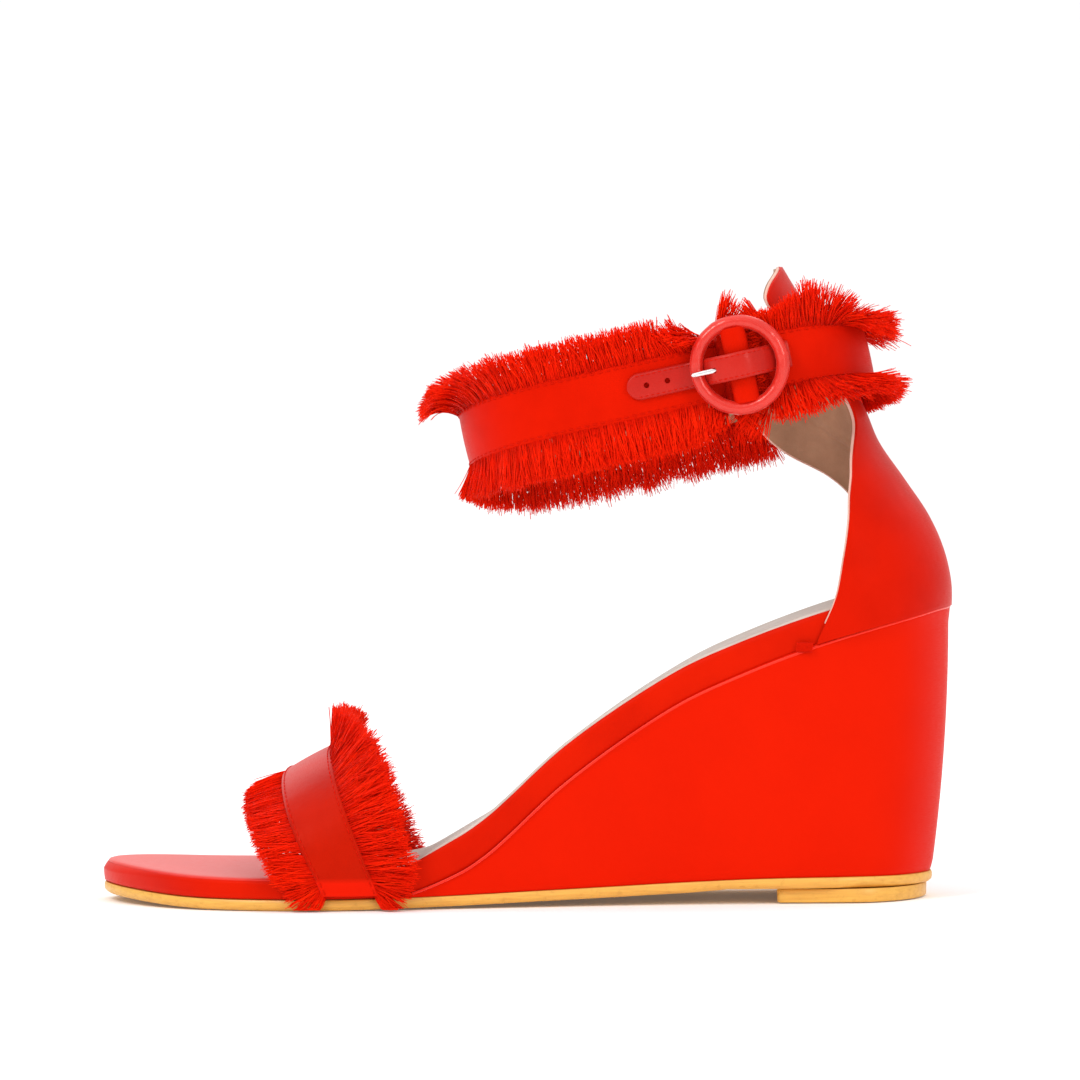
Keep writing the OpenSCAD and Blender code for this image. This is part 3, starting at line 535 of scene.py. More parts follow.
class Foot:
    """Plan outline and heights of the sole, read from the CAD nodes' own stations along the foot."""

    COVER = 0.85                 # the foam's edge lies this far inside the rand's outer face

    def __init__(self):
        foam = node_points("footbed_foam")
        xs = np.unique(np.round(foam[:, 0], 2))
        rows = []
        board = node_points("insole_board")
        top = np.concatenate([node_points("sock_lining"), node_points("toe_cover")])
        for x in xs:
            here = foam[np.abs(foam[:, 0] - x) < 0.02]
            under = board[np.abs(board[:, 0] - x) < 0.02]
            if len(under) and np.ptp(here[:, 1]) > 1:
                rows.append((x, here[:, 1].max(), here[:, 1].min(), under[:, 2].min(), here[:, 2].max()))
        rows = np.array(rows)
        self.xs = rows[:, 0]
        self.low = rows[:, 3]
        tops = []
        for x in np.unique(np.round(top[:, 0], 2)):
            here = top[np.abs(top[:, 0] - x) < 0.02]
            tops.append((x, here[:, 2].max()))
        self.tops = np.array(tops)
        self.toe_x, self.heel_x = box_mm("rand_cover")[0][0], box_mm("rand_cover")[1][0]
        inner = rows[:, [0, 1]]
        outer = rows[:, [0, 2]]
        ring = np.concatenate([[self.tip(rows, 0, 2)], inner, [self.tip(rows, -1, -3)], outer[::-1]])
        even = self.resample(ring, 700)
        for _ in range(3):
            even = (np.roll(even, 1, 0) + 2 * even + np.roll(even, -1, 0)) / 4
        tangent = unit(np.roll(even, -2, 0) - np.roll(even, 2, 0))
        normal = np.stack([-tangent[:, 1], tangent[:, 0]], 1)
        even = even + normal * self.COVER
        even[:, 0] = np.interp(even[:, 0], [even[:, 0].min(), even[:, 0].max()], [self.toe_x, self.heel_x])
        toe, heel = int(np.argmin(even[:, 0])), int(np.argmax(even[:, 0]))
        even, normal = np.roll(even, -toe, 0), np.roll(normal, -toe, 0)
        heel = (heel - toe) % len(even)
        self.sides = {
            1: (even[:heel + 1], normal[:heel + 1]),
            -1: tuple(np.concatenate([a[heel:], a[:1]])[::-1] for a in (even, normal)),
        }
        sole = node_points("outsole")
        marks = []
        for x in np.unique(np.round(sole[:, 0], 2)):
            here = sole[np.abs(sole[:, 0] - x) < 0.02]
            if np.ptp(here[:, 1]) > 15 or x < self.toe_x + 3:
                marks.append((x, here[:, 2].min(), here[:, 2].max()))
        marks = np.array(marks)
        thick = marks[:, 2] - marks[:, 1]
        self.marks = marks[(thick > 0.8 * np.median(thick)) | (marks[:, 0] < self.toe_x + 3)]

    @staticmethod
    def tip(rows, end, next_in):
        """The rounded outline's own end point, beyond the last station."""
        wide_end, wide_in = (rows[k, 1] - rows[k, 2] for k in (end, next_in))
        beyond = wide_end ** 2 * (rows[next_in, 0] - rows[end, 0]) / (wide_in ** 2 - wide_end ** 2)
        return [rows[end, 0] - beyond, (rows[end, 1] + rows[end, 2]) / 2]

    @staticmethod
    def resample(ring, count):
        closed = np.concatenate([ring, ring[:1]])
        run = run_along(closed)
        return columns_at(np.linspace(0, run[-1], count, endpoint=False), run, closed)

    def edge(self, x, side, out=0.0):
        """Point of the outline at x on the inner (1) or outer (-1) side, moved outwards by out."""
        pts, nor = self.sides[side]
        order = np.maximum.accumulate(pts[:, 0] + np.arange(len(pts)) * 1e-9)
        i = np.interp(x, order, np.arange(len(pts)))
        k = np.arange(len(pts))
        px, py = np.interp(i, k, pts[:, 0]), np.interp(i, k, pts[:, 1])
        nx, ny = np.interp(i, k, nor[:, 0]), np.interp(i, k, nor[:, 1])
        return px + nx * out, py + ny * out

    @staticmethod
    def smooth(xs, zs, x):
        step = 1.5
        return sum(np.interp(x + d, xs, zs) for d in (-step, 0, step)) / 3

    def top(self, x):
        return self.smooth(self.tops[:, 0], self.tops[:, 1], x)

    def seam(self, x):
        return self.smooth(self.xs, self.low, x)

    def tread(self, x):
        return np.interp(x, self.marks[:, 0], self.marks[:, 1])

    def sole_top(self, x):
        return np.interp(x, self.marks[:, 0], self.marks[:, 2])


foot = Foot()
HEEL_TAPER = 0.13                # narrowing of the wedge's foot towards the back
RAKE_START = -60.0
heel_rake = foot.heel_x - box_mm("outsole")[1][0]
break_x = float(box_mm("wedge_core")[0][0] - 8.0)


def to_ground(px, py, share=1.0):
    """Moves outline points in to where the raked, tapered wedge meets the outsole."""
    k = np.clip((px - RAKE_START) / (foot.heel_x - RAKE_START), 0, 1) * share
    return px - heel_rake * k * k, py * (1 - HEEL_TAPER * k)


def foot_solid(x0, x1, rows, side_points, across=10):
    """Solid across the foot. side_points(x) lists (out, height, share to ground) from bottom to top."""
    xs = eased(x0, x1, rows)
    loops, grains = [], []
    for x in xs:
        profile = side_points(x)
        halves = []
        for side in (1, -1):
            pts = []
            for out, height, share in profile:
                px, py = foot.edge(x, side, out)
                px, py = to_ground(px, py, share)
                pts.append((px, py, height(px)))
            halves.append(np.array(pts, float))
        inner, outer = halves
        t = np.linspace(0, 1, across + 2)[1:-1, None]
        over = inner[-1] + (outer[-1] - inner[-1]) * t
        under = outer[0] + (inner[0] - outer[0]) * t
        top_height, low_height = profile[-1][1], profile[0][1]
        over[:, 2] = [top_height(v) for v in over[:, 0]]
        under[:, 2] = [low_height(v) for v in under[:, 0]]
        loop = np.concatenate([inner, over, outer[::-1], under])
        loops.append(loop)
        grains.append(np.stack([loop[:, 0], loop[:, 1] + loop[:, 2], 0 * loop[:, 0]], 1))
    verts = np.array(loops)
    stations, cols = verts.shape[:2]
    faces = [tuple(q) for q in grid_faces(stations, cols, True)] + end_caps(stations, cols)
    return verts.reshape(-1, 3), faces, np.array(grains).reshape(-1, 3)


END = 0.003                      # rows start this far from the two tips
SOLE_CREASE_DEG = 40             # edges of the sole parts sharper than this stay sharp


def build_outsole():
    rib_from, rib_to, rib_pitch, rib_height = break_x - 28, break_x + 34, 2.6, 0.45

    def low(x):
        ribs = rib_height * smooth_step(rib_from, rib_from + 2, x) * (1 - smooth_step(rib_to - 2, rib_to, x))
        return foot.tread(x) + ribs * (0.5 + 0.5 * np.sign(np.sin(TAU * x / rib_pitch)))

    def height(share):
        return lambda x: foot.tread(x) + (foot.sole_top(x) - foot.tread(x)) * share

    def section(x):
        rim = ((-0.75, 0.06), (-0.1, 0.24), (0.15, 0.5), (0.1, 0.8), (-0.15, 0.96), (-0.6, 1.0))
        return [(-5.5, low, 1), (-2.2, low, 1)] + [(out, height(share), 1) for out, share in rim]
    solid = foot_solid(foot.toe_x + END, foot.heel_x - END, 240, section)
    piece("outsole_resin", solid, "sole", "shoe", ["outsole"], sharp=SOLE_CREASE_DEG)


def build_top_piece():
    lo, hi = box_mm("heel_top_piece")
    half_w = (hi[1] - lo[1]) / 2
    depth = half_w * 0.75        # of the rounded back
    turn = np.radians(np.linspace(-90, 90, 49))
    back = np.stack([hi[0] - depth + depth * np.cos(turn), half_w * np.sin(turn)], 1)
    corner = 1.6
    angles = np.radians(np.linspace(90, 180, 7))
    front = [(lo[0] + corner + corner * math.cos(a), half_w - corner + corner * math.sin(a)) for a in angles]
    front += [(x, -y) for x, y in front[::-1]]
    path = np.concatenate([back, front])
    tangent = unit(np.roll(path, -1, 0) - np.roll(path, 1, 0))
    normal = np.stack([tangent[:, 1], -tangent[:, 0]], 1)
    height = hi[2] - lo[2]
    profile = [(-6, 0.0), (-0.5, 0.0), (-0.12, 0.12), (0, 0.5), (0.1, height - 0.3), (-0.1, height),
               (-6, height)]
    verts = np.array([[(*(p + n * out), lo[2] + z) for out, z in profile] for p, n in zip(path, normal)])
    rows, cols = verts.shape[:2]
    faces = [tuple(q) for q in grid_faces(rows, cols, False, True)]
    faces += [tuple(r * cols for r in range(rows)), tuple(r * cols + cols - 1 for r in range(rows))[::-1]]
    verts = verts.reshape(-1, 3)
    piece("heel_top_piece_resin", (verts, faces, verts), "sole", "shoe", ["heel_top_piece"],
          sharp=SOLE_CREASE_DEG)


def build_wedge():
    gap = 0.03                   # between the outsole and the wedge's cover
    least = 0.25                 # height of the cover at its thin front end

    def height(share, drop=0.0):
        def at(x):
            top = np.maximum(foot.seam(x), foot.sole_top(x) + least)
            return foot.sole_top(x) + gap + (top - foot.sole_top(x) - gap) * share - drop
        return at

    def section(x):
        rim = 0.45
        body = [(0.0, height(f), 1 - f) for f in np.linspace(0.04, 0.93, 12)]
        fold = [(0.1, 0.965, 0.03), (rim * 0.8, 0.985, 0.01), (rim, 0.995, 0), (rim * 0.75, 1.005, 0),
                (rim * 0.2, 1.012, 0), (-0.4, 1.012, 0)]
        return ([(-3, height(0), 1), (-0.5, height(0), 1), (-0.12, height(0.012), 1)] + body
                + [(out, height(share), to_sole) for out, share, to_sole in fold]
                + [(-1.2, height(1.0, 0.2), 0), (-3, height(1.0, 0.3), 0)])
    solid = foot_solid(break_x - 6.0, foot.heel_x - END, 160, section, across=6)
    piece("wedge_satin", solid, "satin_wedge", "shoe", ["wedge_cover", "wedge_core"])
    # a thin fold along the wedge's top rim, in a lighter satin that is a painted highlight
    ring = []
    for side in (-1, 1):
        px, py = foot.edge(eased(break_x + 1.0, foot.heel_x - END, 170), side, 0.28)
        line = np.stack([px, py, foot.seam(px)], 1)
        ring.append(line if side < 0 else line[::-1])
    line = np.concatenate([ring[0], ring[1][1:]])
    sides = 8
    verts, faces = tubes(line[None], np.full((1, len(line)), 0.34), np.array([[0.0, 0.0, 1.0]]), sides=sides)
    grain = np.stack([np.arange(len(verts)) / sides, verts[:, 2], 0 * verts[:, 2]], 1)
    piece("wedge_top_fold", (verts, faces, grain), "satin_fold_painted_highlight", "shoe", clean_mm=None)


def near_toe(x):
    """1 at the tip of the toe, where the edge is more rounded, falling to 0 behind it."""
    return 1 - smooth_step(foot.toe_x, foot.toe_x + 22, x)


def build_rand():
    def height(share):
        return lambda x: foot.seam(x) + 0.05 + (foot.top(x) - foot.seam(x)) * share

    def section(x):
        inset = 0.45 * float(smooth_step(break_x - 2, break_x + 14, x))
        belly = 0.25
        tip = float(near_toe(x))
        wall = np.linspace(0.05, 0.78 - 0.22 * tip, 9)
        body = [(-inset + belly * math.sin(math.pi * f), height(f), 0) for f in wall]
        shoulder = [(0.15, 0.86 - 0.14 * tip), (0.45, 0.915 - 0.065 * tip), (0.95, 0.945 - 0.015 * tip),
                    (1.6, 0.945), (3.0, 0.93)]
        return ([(-2.5, height(0), 0), (-inset - 0.5, height(0), 0), (-inset - 0.25, height(0.03), 0)] + body
                + [(-inset - out * (1 + 0.9 * tip), height(share), 0) for out, share in shoulder])
    solid = foot_solid(foot.toe_x + END, foot.heel_x - END, 260, section, across=6)
    piece("rand_satin", solid, "satin_rand", "shoe", ["rand_cover"])


def build_footbed():
    join_x = box_mm("sock_lining")[0][0]

    def profile(points, back=0.0):
        """Edge of a layer from (out, depth under the foot's surface) pairs."""
        return [(out - back, lambda x, depth=depth: foot.top(x) - depth, 0) for out, depth in points]

    def sock_section(x):
        return profile([(-1.6, 1.0), (-1.15, 1.0), (-1.0, 0.6), (-1.05, 0.35), (-1.5, -0.02), (-3.0, -0.12)])

    def toe_section(x):
        return profile([(-1.5, 1.0), (-0.7, 0.9), (-0.25, 0.62), (-0.55, 0.25), (-1.3, 0.02), (-2.6, -0.10)],
                       0.75 * float(near_toe(x)))
    sock = foot_solid(join_x, foot.heel_x - 1.4, 150, sock_section, across=14)
    piece("sock_leather", sock, "sock", "shoe", ["sock_lining"])
    toe = foot_solid(foot.toe_x + END, join_x - 0.05, 110, toe_section, across=14)
    piece("toe_cover_satin", toe, "satin_toe", "shoe", ["toe_cover"])


build_outsole()
build_top_piece()
build_wedge()
build_rand()
build_footbed()


# ---- threads

THREAD_SIDES = 3
MOST_SWAY = 1.2                  # radians
BROKEN_SHARE = 0.08              # of the threads are short
WAVE_MM, LOCK_MM = 7.0, 3.2      # lengths of the fringe's waves and of its clumps


def fringe(roots, outward, normals, rng, noise_seed, lengths, lean, curl, per_mm, radius=0.14, sway=0.0, droop=0.0,
           layers=4, fan=0.35, points=8, ragged=1.0, lowest=None):
    """Rows of frayed threads along an edge. roots, outward and normals are (n, 3), the rest numbers or (n,) values.

    lean is the angle from the outward direction towards the normal at the root and curl what is added by the
    tip, in radians; sway tilts the threads along the edge; fan spreads the layers' angles; ragged is how uneven
    the threads are; droop bends the tips down; no thread goes under the height lowest."""
    run = run_along(roots)
    n = len(roots)
    parts = []
    u = np.linspace(0, 1, points)
    for layer in range(layers):
        count = int(run[-1] * per_mm)
        s = np.sort(rng.uniform(0, run[-1], count))

        def pick(a):
            a = np.broadcast_to(np.asarray(a, float), (n,) + np.shape(a)[1:])
            return np.interp(s, run, a) if a.ndim == 1 else columns_at(s, run, a)

        root, out, nor = pick(roots), unit(pick(outward)), unit(pick(normals))
        along = unit(np.cross(nor, out))
        level = (layer + 0.5) / layers
        wave = wave_noise(s, noise_seed + 5, WAVE_MM)
        lock = wave_noise(s, noise_seed + layer * 7 + 1, LOCK_MM)
        own = rng.uniform(-1, 1, count)
        rough = pick(ragged)
        length = pick(lengths) * (1 + rough * (0.05 * wave + 0.035 * lock + 0.035 * rng.normal(0, 1, count)))
        broken = rng.uniform(0, 1, count) < BROKEN_SHARE
        length = length * np.where(broken, rng.uniform(0.7, 0.95, count), 1)
        angle0 = pick(lean) + pick(fan) * (level - 0.5) + 0.05 * wave + 0.04 * rng.normal(0, 1, count)
        turn = pick(curl) * (0.8 + 0.4 * level) + 0.10 * lock + 0.08 * rng.normal(0, 1, count)
        tilt = pick(sway) + 0.07 * lock + 0.10 * own * rough
        bend = 0.16 * rng.normal(0, 1, count)
        angle = angle0[:, None] + turn[:, None] * u[None, :] ** 1.2
        ripple = np.sin(u[None, :] * rng.uniform(4, 9, count)[:, None] + rng.uniform(0, TAU, count)[:, None])
        side = tilt[:, None] + bend[:, None] * u[None, :] + 0.10 * ripple
        step = (np.cos(angle)[..., None] * out[:, None, :] + np.sin(angle)[..., None] * nor[:, None, :]
                + np.tan(np.clip(side, -MOST_SWAY, MOST_SWAY))[..., None] * along[:, None, :])
        step = unit(step) * (length / (points - 1))[:, None, None]
        start = root + nor * (0.1 + 0.5 * (level - 0.3)) - out * rng.uniform(0, 0.9, count)[:, None]
        path = start[:, None, :] + np.pad(np.cumsum(step[:, 1:], axis=1), ((0, 0), (1, 0), (0, 0)))
        path[:, :, 2] -= (pick(droop) * length)[:, None] * u[None, :] ** 2
        if lowest is not None:
            path[:, :, 2] = np.maximum(path[:, :, 2], lowest + 0.5 * np.abs(own)[:, None])
        size = radius * rng.uniform(0.75, 1.2, count)[:, None] * (1 - 0.35 * u[None, :] ** 3)
        verts, faces = tubes(path, size, nor + 0.3 * along, THREAD_SIDES)
        colour = np.clip(0.5 + 0.12 * lock + 0.3 * own, 0, 1)
        grain = np.stack([np.repeat(colour, points * THREAD_SIDES), np.tile(np.repeat(u, THREAD_SIDES), count),
                          np.zeros(len(verts))], 1)
        parts.append((verts, faces, grain))
    return join_parts(parts)


def stitches(points, normals, pitch=2.1, length=1.6, radius=0.14, lift=0.03):
    """Stitches along a line of points (n, 3): short low arches that dip into the cloth at both ends."""
    run = run_along(points)
    count = max(int(run[-1] / pitch), 1)
    start = (np.arange(count) + 0.5) * run[-1] / count
    u = np.linspace(-0.5, 0.5, 7)
    s = start[:, None] + u[None, :] * length
    path = columns_at(s, run, points)
    nor = unit(columns_at(s, run, normals))
    arch = lift + radius * 0.9 - (np.abs(u) * 2) ** 3 * (radius * 2.0)
    path = path + nor * arch[None, :, None]
    size = np.full((count, 7), radius) * (1 - 0.45 * (np.abs(u) * 2) ** 4)[None, :]
    verts, faces = tubes(path, size, nor[:, 3], sides=6)
    return verts, faces, np.tile([0.4, 0.5, 0.0], (len(verts), 1))


# ---- toe band

vamp_lo, vamp_hi = box_mm("vamp_band")
VAMP_HALF = 7.5                  # half the satin strip's width
SEAM_IN = 1.1                    # the seams run this far inside a strip's edges
VAMP_LENGTH = 125                # the strip's length along its arch
VAMP_LEAN = 0.424                # forward lean per unit of height
VAMP_PITCH = 28.0                # tilt of the strip at its crown, in degrees
vamp_low_z = float(vamp_lo[2])
vamp_base_z = vamp_low_z + 5.2
vamp_foot_x = float(vamp_hi[0]) - VAMP_HALF
vamp_rise = float(vamp_hi[2]) - VAMP_HALF * math.sin(math.radians(VAMP_PITCH)) - vamp_base_z - 2.0
vamp_mid_y = (vamp_lo[1] + vamp_hi[1]) / 2
VAMP_SIDE = 0.35                 # the band's inner face lies this far out from the rand
vamp_half_y = float(foot.edge(vamp_foot_x, 1)[1] - foot.edge(vamp_foot_x, -1)[1]) / 2 + VAMP_SIDE


def vamp_point(share, across, out):
    share, across, out = np.broadcast_arrays(share, across, out)
    arch = np.clip((share - 0.1) / 0.8, 0, 1) * math.pi
    low = np.where(share < 0.1, share / 0.1, np.where(share > 0.9, (1 - share) / 0.1, 1.0))
    lift = np.sin(arch) ** 0.8
    spread = np.sign(np.cos(arch)) * np.abs(np.cos(arch)) ** 0.9
    pitch = np.radians(VAMP_PITCH * lift)
    z = vamp_low_z + (vamp_base_z - vamp_low_z) * low + (vamp_rise + out) * lift
    x = vamp_foot_x - VAMP_LEAN * (z - vamp_low_z) + across * np.cos(pitch) + out * np.sin(-pitch) * 0.6
    y = vamp_mid_y - (vamp_half_y + out) * spread
    # the band follows the outline's slant where it hugs the rand
    slant = (1 - lift) * np.clip(across, -18, 16)
    side = np.where(share < 0.5, -1.0, 1.0)
    for s in (1, -1):
        edge_here = foot.edge(vamp_foot_x + slant, s)[1] - foot.edge(vamp_foot_x, s)[1]
        y = y + np.where(side == s, edge_here * (1 - lift), 0)
    return np.stack([x, y, z + across * np.sin(pitch)], -1)


def frame_at(point, s, across, out, step_s):
    """Position, outward-across direction and surface normal along an edge of a band."""
    p = point(s, across, out)
    w = unit(point(s, across + 0.5, out) - point(s, across - 0.5, out))
    t = unit(point(s + step_s, across, out) - point(s - step_s, across, out))
    return p, w, unit(np.cross(t, w))


def off_foot(p, n):
    """Normals turned to point away from the foot under the toe band."""
    return n * np.sign(np.sum(n * (p - np.array([vamp_foot_x, vamp_mid_y, 8.0])), -1))[:, None]


def lined_strip(name, point, stations, layers, body, grain_scale=1.0):
    """Satin strip and its lining; layers gives each one's name, material, slot, node and section; the slot is not
    used.
    """
    for layer, material, slot, node, section in layers:
        verts, faces, grain = sweep(point, stations, section)
        if material != "lining":
            grain[:, 0] *= grain_scale
        piece(name + layer, (verts, faces, grain), material, body, [node])


def sewn_edges(name, point, s, row, out, step_s, turned, body):
    """Stitches along both edges of a strip, row from its middle; turned() sets their normals outwards."""
    parts = []
    for across in (-row, row):
        p, _, n = frame_at(point, s, across, out, step_s)
        parts.append(stitches(p, turned(p, n)))
    piece(name, join_parts(parts), "thread", body, clean_mm=None)


def frayed(node, threads, body):
    piece(node + "_threads", threads, "fringe", body, [node], clean_mm=None)


def vamp_front_shape(crown, foot_near, foot_far):
    return dict(lengths=11.8 - 0.6 * crown - 4.0 * (foot_near + foot_far), lean=0.12 - 0.02 * crown,
                curl=-0.10 + 0.05 * crown, droop=0.02 + 0.13 * crown ** 3, fan=0.22, ragged=0.8)


def vamp_rear_shape(s, foot_near, foot_far):
    top, near, far = bell(s, 0.47, 0.09), bell(s, 0.27, 0.17), smooth_step(0.52, 0.68, s)
    return dict(lengths=11.6 + 4.0 * near - 1.6 * top - 3.0 * far - 3.6 * foot_near - 2 * foot_far,
                lean=0.26 + 0.55 * top + 0.80 * far, curl=0.05 - 0.15 * near + 0.1 * far, fan=0.45, ragged=1.1)


def build_vamp():
    band = ("_band_satin", "satin_vamp", "satin_red", "vamp_band",
            strip_section(VAMP_HALF, 1.0, 0.25, 0.5, base=0.9))
    lining = ("_lining_leather", "lining", "lining_leather", "vamp_lining",
              strip_section(VAMP_HALF - 0.4, 0.75, 0, 0.3, base=0.1))
    lined_strip("vamp", vamp_point, np.linspace(0.0, 1.0, 150), (band, lining), "shoe", VAMP_LENGTH)
    s = np.linspace(0.004, 0.996, 260)
    sewn_edges("vamp_stitching", vamp_point, s, VAMP_HALF - SEAM_IN, 2.0, 0.003, off_foot, "shoe")
    rng = np.random.default_rng(11)
    crown = np.clip(np.sin(np.pi * np.clip((s - 0.08) / 0.84, 0, 1)), 0, 1)
    foot_near, foot_far = 1 - smooth_step(0.0, 0.10, s), 1 - smooth_step(0.0, 0.10, 1 - s)
    for node, side, shape in (("vamp_front_fringe", -1, vamp_front_shape(crown, foot_near, foot_far)),
                              ("vamp_rear_fringe", 1, vamp_rear_shape(s, foot_near, foot_far))):
        p, w, n = frame_at(vamp_point, s, side * (VAMP_HALF - 0.6), 1.0, 0.003)
        sway = 1.15 * (side * (foot_far - foot_near))
        frayed(node, fringe(p, w * side, off_foot(p, n), rng, 20 + side, per_mm=7.5, radius=0.13, lowest=0.3,
                            sway=sway, **shape), "shoe")


build_vamp()


# ---- heel counter

counter_lo, counter_hi = box_mm("counter_outer")
HEEL_HALF = 28.0                 # half the width of the heel
wedge_z = float(counter_lo[2]) + 4.0
k_c = (float(counter_hi[2]) + 0.1 - wedge_z) / 89.0


def cz(z):
    """Height on the counter, from its height on a heel of 76 mm."""
    return wedge_z + (z - 76.0) * k_c


def by_height(rows, base=0.0):
    return [[cz(z), base + value] for z, value in rows]


# by height: the back's place, the half width, and how far each side reaches forward round the heel
COUNTER_BACK = by_height(((68, 0.4), (82.7, 0.8), (90.7, -1), (99.7, -4.9), (109, -11), (119.5, -18),
                          (126, -20.6), (165, -42.6)), float(foot.heel_x))
COUNTER_RADIUS = by_height(((68, 0.4), (84, 0.4), (100, -1.8), (109, -4.2), (115, -5.4), (165, -6)), HEEL_HALF)
OUTER_REACH = by_height(((68, 48), (76, 45), (90.7, 39), (103, 30.4), (113, 21), (125.6, 10), (140, 12),
                         (151, 17), (158, 17), (163, 8), (165, 1)))
INNER_REACH = by_height(((68, 48), (76, 45), (89, 41), (98, 36), (105, 32.7), (109, 34), (115, 40), (120, 42.5),
                         (127, 43), (133, 30), (140, 13), (151, 18), (158, 18), (163, 8), (165, 1)))


def counter_point(z, round_mm, out):
    z, round_mm, out = np.broadcast_arrays(z, round_mm, out)
    r = table(COUNTER_RADIUS, z)
    quarter = r * math.pi / 2
    turn = np.clip(np.abs(round_mm), 0, quarter)
    angle = turn / r
    ahead = np.abs(round_mm) - turn
    x = table(COUNTER_BACK, z) - 1.0 - r + (r + out) * np.cos(angle) - ahead
    return np.stack([x, np.sign(round_mm) * (r + out) * np.sin(angle), z + 0 * x], -1)


def counter_low(round_mm):
    """Bottom of the counter: it meets the wedge's rim all the way round."""
    x = counter_point(cz(76), round_mm, 0.0)[..., 0]
    return foot.seam(x) + 0.35


def fold_line(a, z, start, end, width=0.75):
    """Soft ridge, 1 high, along the line from start to end on the counter's (round, height) surface."""
    d = np.array(end, float) - np.array(start, float)
    t = np.clip(((a - start[0]) * d[0] + (z - start[1]) * d[1]) / (d @ d), 0, 1)
    off = np.hypot(a - start[0] - t * d[0], z - start[1] - t * d[1])
    return np.exp(-((off / width) ** 2)) * np.sin(np.pi * (0.15 + 0.7 * t))


def counter_grid(out0, out1, z_top, rows, cols, trim=0.0, low_lift=0.0, crease=0.0):
    share = np.linspace(-1, 1, cols)[None, :]
    k = np.linspace(0, 1, rows)[:, None]
    z_seed = cz(72) + (z_top - cz(72)) * k
    for _ in range(4):
        z_all = z_seed + 0 * share
        reach = np.where(share < 0, table(OUTER_REACH, z_all), table(INNER_REACH, z_all)) - trim
        reach = np.maximum(reach, 0.4)
        low = counter_low(share * reach) + low_lift
        z_seed = low + (z_top - low) * k
    wobble = crease * (0.35 * wave_noise(z_seed * 0.9 + share * 22, 4, 14) * smooth_step(cz(100), cz(116), z_seed)
                       - fold_line(share * reach, z_seed, (31, cz(127)), (17, cz(115.5)))
                       - 0.8 * fold_line(share * reach, z_seed, (17, cz(134)), (7, cz(126.5)))
                       + 0.7 * fold_line(share * reach, z_seed, (30, cz(123.5)), (16, cz(112))))
    outer = counter_point(z_seed, share * reach, out1 + 0 * share + wobble)
    inner = counter_point(z_seed, share * reach, out0 + 0 * share + wobble)
    grain = np.stack([share * reach, z_seed, 0 * z_seed], -1)
    return outer, inner, grain


def grid_solid(outer, inner, grain):
    rows, cols = outer.shape[:2]
    count = rows * cols
    verts = np.concatenate([outer.reshape(-1, 3), inner.reshape(-1, 3)])
    faces = [tuple(q) for q in grid_faces(rows, cols)]
    faces += [tuple(q) for q in grid_faces(rows, cols, start=count, flip=True)]
    at = lambda r, c: r * cols + c
    for c in range(cols - 1):
        faces.append((at(0, c) + count, at(0, c + 1) + count, at(0, c + 1), at(0, c)))
        faces.append((at(rows - 1, c), at(rows - 1, c + 1), at(rows - 1, c + 1) + count, at(rows - 1, c) + count))
    for r in range(rows - 1):
        faces.append((at(r, 0), at(r + 1, 0), at(r + 1, 0) + count, at(r, 0) + count))
        faces.append((at(r, cols - 1) + count, at(r + 1, cols - 1) + count, at(r + 1, cols - 1), at(r, cols - 1)))
    return verts, faces, np.concatenate([grain.reshape(-1, 3)] * 2)


FLEX = ("shoe", "ankle_back", (0, 0, cz(86) * MM), (0, 0, cz(118) * MM))


def build_counter():
    satin_grid = counter_grid(0.0, 1.0, cz(164.9), 90, 56)
    piece("counter_satin", grid_solid(*satin_grid), "satin_counter", FLEX, ["counter_outer"], soft_edge=0.35)
    lining_grid = counter_grid(-1.1, -0.06, cz(164.4), 150, 110, trim=0.3, crease=0.7)
    piece("counter_lining_leather", grid_solid(*lining_grid), "lining", FLEX, ["counter_lining"],
          soft_edge=0.3)
    # the stiffener lies inside the lining
    stiffener_grid = counter_grid(-0.8, -0.35, cz(97.5), 30, 40, trim=3.0, low_lift=0.8)
    piece("counter_stiffener_sheet", grid_solid(*stiffener_grid), "stiffener", FLEX,
          ["counter_stiffener"])
    # folded edge piping between satin and lining, the pale line seen along both front edges
    z = np.linspace(cz(73), cz(164.6), 200)
    parts = []
    for side, rows in ((-1, OUTER_REACH), (1, INNER_REACH)):
        reach = np.maximum(table(rows, z) - 0.05, 0.4)
        p = counter_point(z, side * reach, -0.05)
        p = p[p[:, 2] > counter_low(side * reach) + 0.5]
        tube, tube_faces = tubes(p[None], np.full((1, len(p)), 0.42), np.array([[0, side, 0.2]]), sides=8)
        parts.append((tube, tube_faces, tube))
    piece("counter_cut_edge", join_parts(parts), "cut_edge", FLEX, clean_mm=None)


build_counter()


